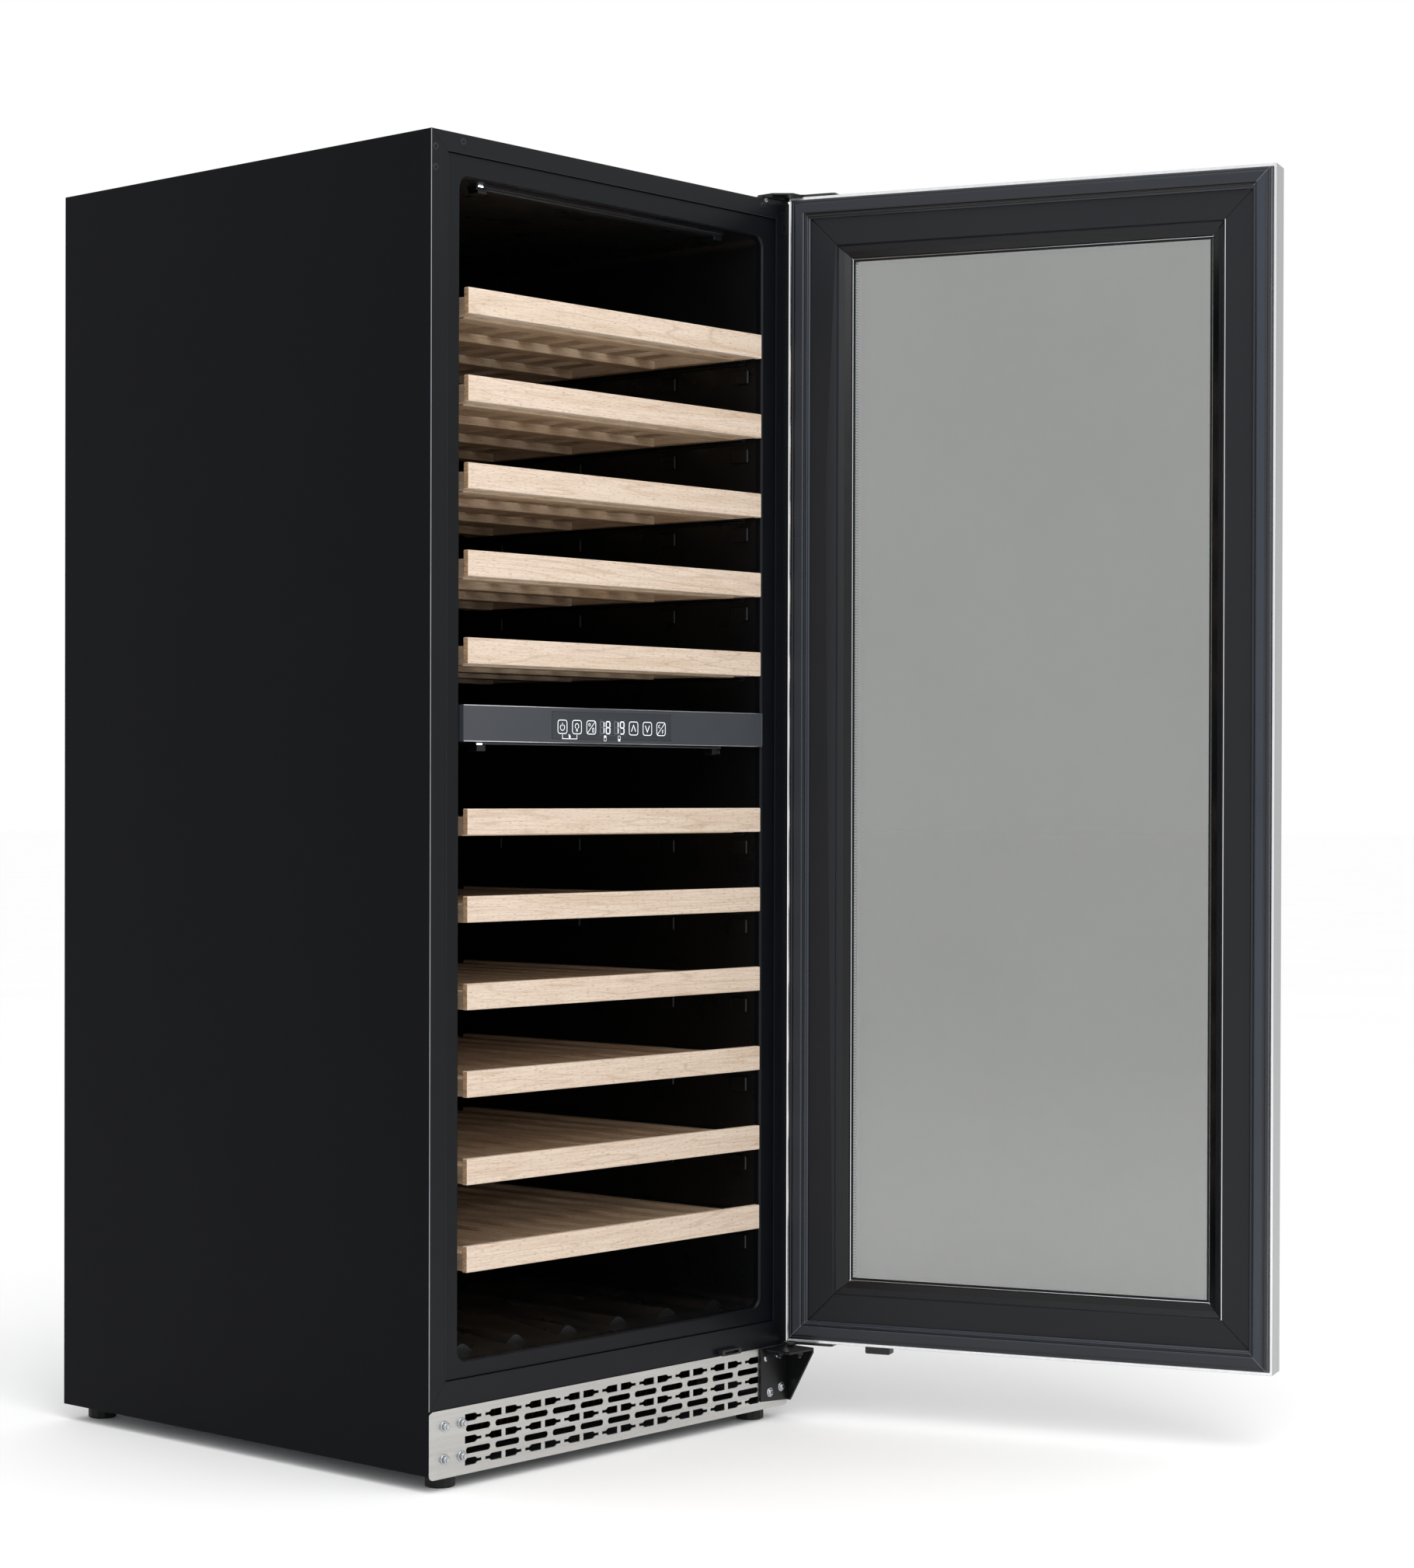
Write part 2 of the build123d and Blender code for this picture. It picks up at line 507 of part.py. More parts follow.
# ================================================================ fixed channels
with BuildPart() as fixed_rails:
    for zt in SHELF_Z:
        z0, z1 = zt - 33.0, zt - 9.0
        for s in (-1, 1):
            a, b = sorted((s * FIXED_IN, s * (OPEN_HALF - 0.05)))
            w0, w1 = sorted((s * (OPEN_HALF - 1.4), s * (OPEN_HALF - 0.05)))
            block(w0, w1, 30, 505, z0, z1)
            block(a, b, 30, 505, z1 - 1.2, z1)
            block(a, b, 30, 505, z0, z0 + 1.2)
save(fixed_rails, "fixed_rails")


# ================================================================ shelves
def make_shelf(number, zt, out):
    y0 = SHELF_HOME - out
    hw = SHELF_W / 2
    with BuildPart() as rack:
        # front board with round end corners, a thin lip on top and a thicker foot
        with BuildSketch(Plane.XY.offset(zt - SHELF_H)):
            with Locations((0, F + y0 + 4.0)):
                RectangleRounded(SHELF_W, 8.0, 2.0)
        extrude(amount=SHELF_H)
        with BuildSketch(Plane.XY.offset(zt - SHELF_H)):
            with Locations((0, F + y0 + 11.9)):
                Rectangle(2 * RAIL_IN - 0.1, 8.2)
        extrude(amount=15.0)
        # side rails
        with BuildSketch(Plane.XY.offset(zt - 31.0 + 2.4)):
            for s in (-1, 1):
                with Locations((s * (RAIL_IN + RAIL_OUT) / 2, F + (y0 + 8.05 + SHELF_BACK - out) / 2)):
                    Rectangle(RAIL_OUT - RAIL_IN, SHELF_BACK - out - (y0 + 8.05))
        extrude(amount=19.6)
        # cross battens between the side rails
        with BuildSketch(Plane.XY.offset(zt - 30.0)):
            for yy in (40.0, 170.0, 310.0, 450.0):
                with Locations((0, F + y0 + yy)):
                    Rectangle(2 * RAIL_IN - 0.1, 26.0)
        extrude(amount=10.5)
        # slats that run front to back
        with BuildSketch(Plane.XY.offset(zt - 19.45)):
            with Locations((0, F + (y0 + 16.1 + SHELF_BACK - out) / 2)):
                with GridLocations(50.0, 1, 9, 1):
                    Rectangle(24.0, SHELF_BACK - out - (y0 + 16.1))
        extrude(amount=8.0)
    save(rack, f"shelf_{number:02d}_rack")

    with BuildPart() as runners:
        for s in (-1, 1):
            yf, yk = y0 + 28.0, SHELF_BACK - out - 2.0
            zr0, zr1 = zt - 30.0, zt - 12.0
            web = sorted((s * (RUNNER_OUT - 1.2), s * RUNNER_OUT))
            lip = sorted((s * (RAIL_OUT + 0.05), s * RUNNER_OUT))
            block(web[0], web[1], yf, yk, zr0, zr1)
            block(lip[0], lip[1], yf, yk, zr1 - 1.2, zr1)
            block(lip[0], lip[1], yf, yk, zr0, zr0 + 1.2)
            with BuildSketch(Plane.YZ.offset(web[0] - 1.0)):
                with Locations((F + yf + 54.0, (zr0 + zr1) / 2)):
                    Rectangle(9.0, 11.5)
                with Locations((F + yf + 18.0, (zr0 + zr1) / 2), (F + yf + 36.0, (zr0 + zr1) / 2)):
                    SlotOverall(9.0, 4.2, rotation=90)
            extrude(amount=3.2, mode=Mode.SUBTRACT)
    save(runners, f"shelf_{number:02d}_runners")


for i, (zt, out) in enumerate(zip(SHELF_Z, SHELF_OUT)):
    make_shelf(i + 1, zt, out)

# ================================================================ door, drawn closed
RIM = dict(x0=-HW, x1=HW, z0=DOOR_Z0, z1=DOOR_Z1, wl=100.0, wr=100.0, wt=100.0, wb=100.0)


def rim(a, b, y0, y1):
    """Four mitred bars between the distances a and b from the door's edge."""
    ring_layer(**RIM, t0=a / 100.0, t1=b / 100.0, y0=y0, y1=y1)


def mitred_section(points):
    """Four mitred bars with one cross-section, given as (distance from the edge, y)."""
    r2 = math.sqrt(2.0)
    corners = [(-HW, DOOR_Z0), (HW, DOOR_Z0), (HW, DOOR_Z1), (-HW, DOOR_Z1)]
    inward = [(1, 1), (-1, 1), (-1, -1), (1, -1)]
    for k in range(4):
        j = (k + 1) % 4
        (xa, za), (xb, zb) = corners[k], corners[j]
        ln = math.hypot(xb - xa, zb - za)
        ux, uz = (xb - xa) / ln, (zb - za) / ln
        pa = (xa + ux * MITRE, F, za + uz * MITRE)
        pb = (xb - ux * MITRE, F, zb - uz * MITRE)
        ends = []
        for p, (ix, iz) in ((pa, inward[k]), (pb, inward[j])):
            xd = Vector(ix / r2, 0, iz / r2)
            zd = xd.cross(Vector(0, 1, 0))
            with BuildSketch(Plane(origin=p, x_dir=xd, z_dir=zd)) as end:
                with BuildLine():
                    Polyline(*[(s * r2, y) for s, y in points], close=True)
                make_face()
            ends.append(end.sketch.faces()[0])
        loft(ends, ruled=True)


# stainless outer profile: wide face, edge wall, narrow return on the inside
with BuildPart() as closed_frame:
    rim(0.0, 64.0, Y_DOOR_OUT, Y_DOOR_OUT + 1.5)
    rim(0.0, 1.5, Y_DOOR_OUT + 1.5, Y_DOOR_IN)
    rim(1.5, 3.4, Y_DOOR_IN - 1.2, Y_DOOR_IN)
save_hung(closed_frame, "door_frame")

# moulded inner border: flat land for the seal, flat field, slope down to the glass
with BuildPart() as closed_liner:
    mitred_section([(1.6, Y_DOOR_OUT + 1.6), (45.8, Y_DOOR_OUT + 1.6), (45.8, Y_DOOR_OUT + 6.2),
                    (68.0, Y_DOOR_OUT + 6.2), (68.0, Y_DOOR_IN - 13.2), (DOOR_RIM, Y_DOOR_IN - 13.2),
                    (DOOR_RIM - 1.5, Y_DOOR_IN - 10.5), (62.0, Y_DOOR_IN - 3.0), (60.0, Y_DOOR_IN),
                    (3.6, Y_DOOR_IN), (3.6, Y_DOOR_IN - 1.4), (1.6, Y_DOOR_IN - 1.4)])
save_hung(closed_liner, "door_liner")

# magnetic seal: base strip, two folds and the magnet bulb
with BuildPart() as closed_gasket:
    rim(4.0, 27.5, Y_DOOR_IN + 0.05, Y_DOOR_IN + 2.0)
    rim(7.5, 24.0, Y_DOOR_IN + 2.0, Y_DOOR_IN + 4.0)
    rim(4.5, 26.0, Y_DOOR_IN + 4.0, -1.6)
    rim(5.5, 22.0, -1.6, -0.4)
    # hollows over the flange screws and over the tab of the upper hinge
    for x, z in ((-291.0, 1449.0), (-291.0, 1426.5), (-249.5, 1460.0), (249.5, 1460.0)):
        along_y(x, z, -2.8, 0.0, 4.7, mode=Mode.SUBTRACT)
    block(281.2, 299.0, -5.7, 0.0, 1429.0, 1475.0, mode=Mode.SUBTRACT)
save_hung(closed_gasket, "door_gasket")

with BuildPart() as closed_outer_glass:
    block(-HW + 46.0, HW - 46.0, Y_DOOR_OUT + 1.55, Y_DOOR_OUT + 5.55, DOOR_Z0 + 46.0, DOOR_Z1 - 46.0)
save_hung(closed_outer_glass, "door_glass_outer")

with BuildPart() as closed_inner_glass:
    block(-HW + 68.2, HW - 68.2, Y_DOOR_IN - 17.4, Y_DOOR_IN - 13.4, DOOR_Z0 + 68.2, DOOR_Z1 - 68.2)
save_hung(closed_inner_glass, "door_glass_inner")

with BuildPart() as closed_spacer:
    rim(70.0, 78.0, Y_DOOR_OUT + 5.65, Y_DOOR_IN - 17.5)
save_hung(closed_spacer, "glazing_spacer")

# bar handle on two posts
HANDLE_X, HANDLE_Y = -273.5, Y_DOOR_OUT - 40.0
HANDLE_Z0, HANDLE_Z1 = 533.0, 1031.0
with BuildPart() as closed_handle:
    upright(HANDLE_X, HANDLE_Y, HANDLE_Z0, HANDLE_Z1, 6.0)
    chamfer(closed_handle.edges().filter_by(GeomType.CIRCLE), 0.8)
    for z in (HANDLE_Z0 + 45.0, HANDLE_Z1 - 45.0):
        along_y(HANDLE_X, z, HANDLE_Y, Y_DOOR_OUT - 2.0, 4.5)
        along_y(HANDLE_X, z, Y_DOOR_OUT - 2.0, Y_DOOR_OUT - 0.02, 7.5)
save_hung(closed_handle, "door_handle")

# hinge plates screwed to the ends of the door, each with the hole for a fixed pin
with BuildPart() as closed_hinge_plates:
    for z0, z1 in ((DOOR_Z0 - 3.4, DOOR_Z0 - 0.05), (DOOR_Z1 + 0.05, DOOR_Z1 + 3.2)):
        with BuildSketch(Plane.XY.offset(z0)):
            with Locations((268.0, F - 27.0)):
                RectangleRounded(56.0, 30.0, 4.0)
            with Locations((PIVOT_X, F + PIVOT_Y)):
                Circle(8.6)
            with Locations((PIVOT_X - 5.5, F + PIVOT_Y - 8.0)):
                Rectangle(14.0, 16.0)
            with Locations((PIVOT_X, F + PIVOT_Y)):
                Circle(PIN_R + PIN_CLEAR, mode=Mode.SUBTRACT)
        extrude(amount=z1 - z0)
save_hung(closed_hinge_plates, "door_hinge_plates")

# tab under the door that meets the catch on the flange
with BuildPart() as closed_tab:
    block(HW - 132.0, HW - 101.0, -24.0, -10.2, DOOR_Z0 - 8.0, DOOR_Z0 - 0.05)
    fillet(closed_tab.edges().filter_by(Axis.Y).group_by(Axis.Z)[0], 2.0)
save_hung(closed_tab, "door_tab")
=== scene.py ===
import bpy
import bmesh
import math
import random
from mathutils import Matrix, Vector


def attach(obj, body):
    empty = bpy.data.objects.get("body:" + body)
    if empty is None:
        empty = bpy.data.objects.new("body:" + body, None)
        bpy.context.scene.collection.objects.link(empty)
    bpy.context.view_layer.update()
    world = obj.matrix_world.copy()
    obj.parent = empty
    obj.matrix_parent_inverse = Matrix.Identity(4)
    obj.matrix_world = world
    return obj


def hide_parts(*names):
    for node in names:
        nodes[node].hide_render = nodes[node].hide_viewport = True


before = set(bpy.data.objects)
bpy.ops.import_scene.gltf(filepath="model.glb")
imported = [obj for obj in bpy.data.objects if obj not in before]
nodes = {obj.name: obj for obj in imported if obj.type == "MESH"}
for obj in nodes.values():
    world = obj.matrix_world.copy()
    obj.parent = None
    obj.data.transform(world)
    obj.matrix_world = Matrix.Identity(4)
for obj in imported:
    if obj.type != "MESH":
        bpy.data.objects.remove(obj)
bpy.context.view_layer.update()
rng = random.Random(7)

# ------------------------------------------------------------------ numbers of the frame, in metres
F = -0.3175
HW = 0.2975
DOOR_Z0, DOOR_Z1 = 0.092, 1.4734
Y_IN, Y_OUT = -0.010, -0.0454
PIVOT = Vector((0.2931, F - 0.0108, 0.0))
OPEN = math.radians(108.6)
HANG = Matrix.Translation(PIVOT) @ Matrix.Rotation(OPEN, 4, "Z") @ Matrix.Translation(-PIVOT)
SHELF_Z = [1.3035 - 0.095 * i for i in range(5)] + [0.7373 - 0.0952 * i for i in range(6)]
MM = 0.001


# ------------------------------------------------------------------ materials
def lin(h):
    h = h.lstrip("#")
    out = []
    for i in (0, 2, 4):
        c = int(h[i : i + 2], 16) / 255.0
        out.append(c / 12.92 if c <= 0.04045 else ((c + 0.055) / 1.055) ** 2.4)
    return (*out, 1.0)


class Mat:
    def __init__(self, name):
        self.m = bpy.data.materials.new(name)
        self.m.use_nodes = True
        self.t = self.m.node_tree
        self.b = self.t.nodes["Principled BSDF"]
        self.tc = self.t.nodes.new("ShaderNodeTexCoord")

    def set(self, **kw):
        for k, v in kw.items():
            self.b.inputs[k.replace("_", " ")].default_value = v
        return self

    def link(self, a, b):
        self.t.links.new(a, b)

    def coords(self, scale=(1, 1, 1), offset=(0, 0, 0)):
        mp = self.t.nodes.new("ShaderNodeMapping")
        mp.inputs["Scale"].default_value = scale
        mp.inputs["Location"].default_value = offset
        self.link(self.tc.outputs["Object"], mp.inputs["Vector"])
        return mp.outputs["Vector"]

    def noise(self, scale=(1, 1, 1), detail=3.0, rough=0.55, distortion=0.0, offset=(0, 0, 0), size=1.0):
        n = self.t.nodes.new("ShaderNodeTexNoise")
        n.inputs["Scale"].default_value = size
        n.inputs["Detail"].default_value = detail
        n.inputs["Roughness"].default_value = rough
        n.inputs["Distortion"].default_value = distortion
        self.link(self.coords(scale, offset), n.inputs["Vector"])
        return n.outputs["Fac"]

    def ramp(self, fac, stops):
        r = self.t.nodes.new("ShaderNodeValToRGB")
        el = r.color_ramp.elements
        while len(el) < len(stops):
            el.new(0.5)
        for e, (p, c) in zip(el, stops):
            e.position = p
            e.color = c if len(c) == 4 else (*c, 1.0)
        self.link(fac, r.inputs["Fac"])
        return r.outputs["Color"]

    def mix(self, fac, a, b, blend="MIX"):
        x = self.t.nodes.new("ShaderNodeMix")
        x.data_type = "RGBA"
        x.blend_type = blend
        for sock, v in ((x.inputs[0], fac), (x.inputs[6], a), (x.inputs[7], b)):
            if isinstance(v, bpy.types.NodeSocket):
                self.link(v, sock)
            else:
                sock.default_value = v
        return x.outputs[2]

    def span(self, fac, lo, hi, a=0.3, b=0.7):
        x = self.t.nodes.new("ShaderNodeMapRange")
        x.inputs["From Min"].default_value = a
        x.inputs["From Max"].default_value = b
        x.inputs["To Min"].default_value = lo
        x.inputs["To Max"].default_value = hi
        self.link(fac, x.inputs["Value"])
        return x.outputs["Result"]

    def math(self, op, a, b):
        x = self.t.nodes.new("ShaderNodeMath")
        x.operation = op
        for sock, v in ((x.inputs[0], a), (x.inputs[1], b)):
            if isinstance(v, bpy.types.NodeSocket):
                self.link(v, sock)
            else:
                sock.default_value = v
        return x.outputs[0]

    def bump(self, height, distance, strength=1.0, after=None):
        x = self.t.nodes.new("ShaderNodeBump")
        x.inputs["Distance"].default_value = distance
        x.inputs["Strength"].default_value = strength
        self.link(height, x.inputs["Height"])
        if after is not None:
            self.link(after, x.inputs["Normal"])
        return x.outputs["Normal"]

    def to(self, name, sock):
        self.link(sock, self.b.inputs[name])
        return self


def painted(name, color, rough=(0.34, 0.5), peel=900, depth=0.00003, var=0.12, metallic=0.0, spec=0.5, grain=(1, 1, 1)):
    """Paint or moulded plastic: faint mottling, uneven gloss and an orange-peel or grain bump."""
    k = Mat(name)
    k.set(Metallic=metallic)
    k.b.inputs["Specular IOR Level"].default_value = spec
    c = lin(color)
    broad = k.noise((6, 6, 6), detail=4)
    light = tuple(min(1.0, v * (1 + var)) for v in c[:3]) + (1,)
    dark = tuple(v * (1 - var) for v in c[:3]) + (1,)
    k.to("Base Color", k.ramp(broad, [(0.3, dark), (0.7, light)]))
    k.to("Roughness", k.span(k.noise((22, 22, 22), detail=5), rough[0], rough[1]))
    fine = k.noise(tuple(peel * g for g in grain), detail=2)
    k.to("Normal", k.bump(fine, depth))
    return k.m


def brushed(name, color, axis, rough=(0.2, 0.34), depth=0.000012, metallic=1.0, fine=2600, var=0.08):
    """Metal with fine scratches along one axis."""
    k = Mat(name)
    k.set(Metallic=metallic)
    s = [fine, fine, fine]
    s[axis] = 9
    lines = k.noise(tuple(s), detail=4, rough=0.7)
    s2 = [180, 180, 180]
    s2[axis] = 3
    bands = k.noise(tuple(s2), detail=3)
    c = lin(color)
    k.to("Base Color", k.ramp(bands, [(0.25, tuple(v * (1 - var) for v in c[:3])), (0.75, tuple(min(1, v * (1 + var)) for v in c[:3]))]))
    k.to("Roughness", k.span(lines, rough[0], rough[1]))
    k.to("Normal", k.bump(lines, depth))
    return k.m


def metal(name, color, rough=(0.25, 0.4), scale=300, depth=0.00002, var=0.1):
    k = Mat(name)
    k.set(Metallic=1.0)
    c = lin(color)
    n = k.noise((scale, scale, scale), detail=5)
    b = k.noise((24, 24, 24), detail=3)
    k.to("Base Color", k.ramp(b, [(0.3, tuple(v * (1 - var) for v in c[:3])), (0.7, tuple(min(1, v * (1 + var)) for v in c[:3]))]))
    k.to("Roughness", k.span(n, rough[0], rough[1]))
    k.to("Normal", k.bump(n, depth))
    return k.m


def wood(name, axis, light, mid, dark, rough=(0.42, 0.58), fleck=0.55, lines_amount=0.55):
    """Steamed beech: long soft figure, fine fibres and short darker ray flecks along the fibre."""
    k = Mat(name)

    def along(a, c):
        s = [c, c, c]
        s[axis] = a
        return tuple(s)

    figure = k.noise(along(2.2, 46), detail=4, distortion=0.5)
    base = k.ramp(figure, [(0.28, lin(mid)), (0.5, lin(light)), (0.74, lin(mid))])
    fibre = k.noise(along(26, 900), detail=3, rough=0.6)
    fib = k.ramp(fibre, [(0.3, (0.74, 0.68, 0.63, 1)), (0.60, (1, 1, 1, 1))])
    col = k.mix(0.55, base, fib, "MULTIPLY")
    # growth lines: thin darker bands where a slow, stretched noise crosses fixed levels
    slow = k.noise(along(1.6, 30), detail=2, distortion=0.35, offset=(1.3, 4.1, 2.2))
    bands = k.math("PINGPONG", k.math("MULTIPLY", slow, 22.0), 1.0)
    lines = k.ramp(bands, [(0.0, (0.74, 0.66, 0.58, 1)), (0.22, (1, 1, 1, 1))])
    col = k.mix(lines_amount, col, lines, "MULTIPLY")
    rays = k.noise(along(120, 1500), detail=1, offset=(3.1, 1.7, 5.3))
    mask = k.ramp(rays, [(0.60, (0, 0, 0, 1)), (0.68, (1, 1, 1, 1))])
    amount = k.math("MULTIPLY", mask, fleck)
    col = k.mix(amount, col, lin(dark))
    k.to("Base Color", col)
    k.to("Roughness", k.span(fibre, rough[0], rough[1]))
    b1 = k.bump(fibre, 0.00006)
    b2 = k.bump(rays, 0.00003, after=b1)
    k.to("Normal", b2)
    k.b.inputs["Specular IOR Level"].default_value = 0.35
    return k.m


def end_grain(name, light, dark):
    k = Mat(name)
    n = k.noise((1400, 1400, 1400), detail=2)
    w = k.noise((160, 160, 700), detail=3, distortion=1.0)
    a = k.ramp(w, [(0.3, lin(dark)), (0.65, lin(light))])
    pores = k.ramp(n, [(0.36, (0.45, 0.40, 0.36, 1)), (0.5, (1, 1, 1, 1))])
    k.to("Base Color", k.mix(0.8, a, pores, "MULTIPLY"))
    k.to("Roughness", k.span(n, 0.6, 0.8))
    k.to("Normal", k.bump(n, 0.0001))
    return k.m


def glowing(name, color, emit, strength, rough=0.4):
    k = Mat(name)
    n = k.noise((400, 400, 400), detail=2)
    c = lin(color)
    k.to("Base Color", k.ramp(n, [(0.3, tuple(v * 0.93 for v in c[:3])), (0.7, c)]))
    k.to("Roughness", k.span(n, rough - 0.05, rough + 0.08))
    k.b.inputs["Emission Color"].default_value = lin(emit)
    k.b.inputs["Emission Strength"].default_value = strength
    k.to("Normal", k.bump(n, 0.00001))
    return k.m


def glass(name, color, rough=0.012):
    k = Mat(name)
    c = lin(color)
    n = k.noise((3, 3, 3), detail=2)
    k.to("Base Color", k.ramp(n, [(0.2, tuple(v * 0.97 for v in c[:3])), (0.8, c)]))
    k.b.inputs["Transmission Weight"].default_value = 1.0
    k.b.inputs["IOR"].default_value = 1.5
    smear = k.noise((14, 14, 14), detail=6, rough=0.7)
    k.to("Roughness", k.span(smear, rough, rough * 2.6))
    return k.m


M = {}
M["body"] = painted("body_paint", "050609", rough=(0.455, 0.485), peel=1300, depth=0.000018, var=0.05, spec=0.06)
M["front"] = painted("front_paint", "0a0c11", rough=(0.33, 0.38), peel=1500, depth=0.000016, var=0.08, spec=0.20)
M["step"] = painted("step_plastic", "090b0f", rough=(0.29, 0.35), peel=1900, depth=0.00002, var=0.08, spec=0.18)
M["liner"] = painted("liner_plastic", "0d0e10", rough=(0.24, 0.38), peel=700, depth=0.00003, var=0.10, spec=0.45)
M["duct"] = painted("duct_plastic", "1b1c1f", rough=(0.38, 0.55), peel=1200, depth=0.00005, var=0.10)
M["panel"] = painted("panel_plastic", "393c42", rough=(0.30, 0.42), peel=1800, depth=0.000012, var=0.06)
M["lens"] = painted("display_lens", "303338", rough=(0.28, 0.38), peel=1200, depth=0.000006, var=0.05)
M["doorliner"] = painted("door_liner_plastic", "0c0e14", rough=(0.32, 0.39), peel=1500, depth=0.00002, var=0.08, spec=0.30)
M["black"] = painted("bracket_black", "141517", rough=(0.34, 0.5), peel=1600, depth=0.00004, var=0.12)
M["hinge"] = painted("hinge_black", "0a0b0d", rough=(0.30, 0.42), peel=1600, depth=0.00002, var=0.10, spec=0.35)
M["rail"] = painted("rail_black", "17181b", rough=(0.30, 0.46), peel=1300, depth=0.00003, var=0.10, metallic=0.2)
M["rubber"] = painted("foot_rubber", "121315", rough=(0.55, 0.75), peel=900, depth=0.00008, var=0.15, spec=0.35)
# the seal materials are one dark rubber in a lighter blue-grey copy and two darker copies: painted highlight and
# painted shade
M["seal"] = painted("seal_rubber", "1b232f", rough=(0.24, 0.34), peel=700, depth=0.00002, var=0.10, spec=0.55)
M["seal_painted_half_shade"] = painted("seal_rubber_painted_half_shade", "141922", rough=(0.26, 0.36), peel=700, depth=0.00002, var=0.10, spec=0.45)
M["gloss"] = painted("reveal_black", "060708", rough=(0.16, 0.24), peel=900, depth=0.000006, var=0.08, spec=0.30)
M["seal_painted_shade"] = painted("seal_rubber_painted_shade", "0e0f12", rough=(0.30, 0.42), peel=700, depth=0.00002, var=0.10, spec=0.5)
M["foam"] = painted("foam", "b9a980", rough=(0.8, 0.95), peel=500, depth=0.0003, var=0.15, spec=0.2)
M["fan"] = painted("fan_plastic", "18191b", rough=(0.35, 0.5), peel=900, depth=0.00003, var=0.10)
M["comp"] = painted("compressor_black", "101113", rough=(0.25, 0.4), peel=160, depth=0.00012, var=0.15)
# seam grey for the weld seams of the seal; also the line on the LED lens edge, a painted highlight
M["weld"] = painted("seam_grey_and_painted_highlight", "5b6068", rough=(0.3, 0.4), peel=900, depth=0.00001, var=0.05)
# bright metal strip at the outer edges of the flange: painted highlight
M["edge"] = metal("painted_highlight_strip", "a9adb2", rough=(0.28, 0.42), scale=900, depth=0.00001)
M["groove"] = painted("groove_shadow", "0b0c0e", rough=(0.5, 0.6), peel=900, depth=0.00002, var=0.1, spec=0.2)
M["galv"] = metal("galvanised", "6f7377", rough=(0.38, 0.52), scale=260, depth=0.00002, var=0.06)
M["zinc"] = metal("zinc", "b9bcc0", rough=(0.22, 0.36), scale=500, depth=0.00001)
M["screw_black"] = metal("screw_black", "3a3d42", rough=(0.22, 0.34), scale=700, depth=0.00001)
M["copper"] = metal("copper", "c77b56", rough=(0.22, 0.4), scale=180, depth=0.00002, var=0.2)
M["coil"] = metal("coil_copper", "4a3226", rough=(0.36, 0.52), scale=180, depth=0.00002, var=0.2)
M["seam"] = painted("sheet_seam", "1b1d22", rough=(0.35, 0.45), peel=900, depth=0.00001, var=0.06, spec=0.3)
M["alu"] = brushed("aluminium_spacer", "c9ccd0", 2, rough=(0.25, 0.38))
M["alu_door"] = brushed("aluminium_door", "999a9b", 2, rough=(0.22, 0.32), fine=3000, depth=0.000006)
M["steel"] = brushed("stainless_x", "c4c3c0", 0, rough=(0.22, 0.36), fine=2800)
M["handle"] = brushed("stainless_handle", "c2c3c4", 2, rough=(0.18, 0.28), fine=3000)
M["lip"] = brushed("bright_lip", "e6e8ea", 2, rough=(0.12, 0.2), fine=3000, depth=0.000004)
# bright bead metal; on the free side of the door also a painted highlight
M["line"] = brushed("bright_line", "d5d7da", 2, rough=(0.15, 0.24), fine=2600, depth=0.000004)
M["glass"] = glass("tinted_glass", "c2c3c2")
M["diffuser"] = painted("light_diffuser", "101114", rough=(0.3, 0.42), peel=900, depth=0.00001, var=0.05)
# glowing end of the LED bar: painted glint, the strip itself is dark
M["painted_glint"] = glowing("led_end_painted_glint", "f5f7fa", "eef4ff", 5.0)
M["icon"] = glowing("icon_white", "e2e5e8", "f2f5f8", 0.45)
M["icon_dim"] = glowing("icon_grey", "6a6e74", "8a9096", 0.03)
# the spacer dots glow though they are no lamp: painted highlight
M["dot"] = glowing("spacer_dot_painted_glow", "eef0f2", "eef0f2", 0.5)
M["wood_x"] = wood("beech_cross", 0, "dccbba", "d0bba6", "a07c5f", fleck=0.7)
M["wood_y"] = wood("beech_deep", 1, "d8c0a5", "c6a888", "8c6a4c", fleck=0.5)
M["wood_x2"] = wood("beech_batten", 0, "cdb79d", "b99c7e", "86674a", fleck=0.5)
M["wood_end"] = end_grain("beech_end", "c3a17f", "7d5f45")

# ------------------------------------------------------------------ finishes of the CAD nodes
FINISH = {
    "side_panel_left": "body", "side_panel_right": "body", "top_panel": "body", "back_panel": "galv",
    "base_pan": "galv", "insulation_foam": "duct", "inner_liner": "liner", "front_flange": "front",
    "step_frame": "step", "zone_divider": "liner", "control_panel": "panel", "control_display": "lens",
    "led_strips": "diffuser", "duct_cover_upper": "duct", "duct_cover_lower": "duct",
    "evaporator_plates": "galv", "compressor": "comp", "condenser_coil": "coil",
    "condenser_fan_bracket": "galv", "kick_plate": "steel", "flange_catch": "black",
    "levelling_feet": "rubber", "power_inlet": "black", "fixed_rails": "rail", "door_frame": "alu_door",
    "door_liner": "doorliner", "door_glass_outer": "glass", "door_glass_inner": "glass",
    "glazing_spacer": "alu", "door_handle": "handle", "door_hinge_plates": "black", "door_tab": "black",
    "circulation_fan_upper": "fan", "circulation_fan_lower": "fan", "condenser_fan": "fan",
}
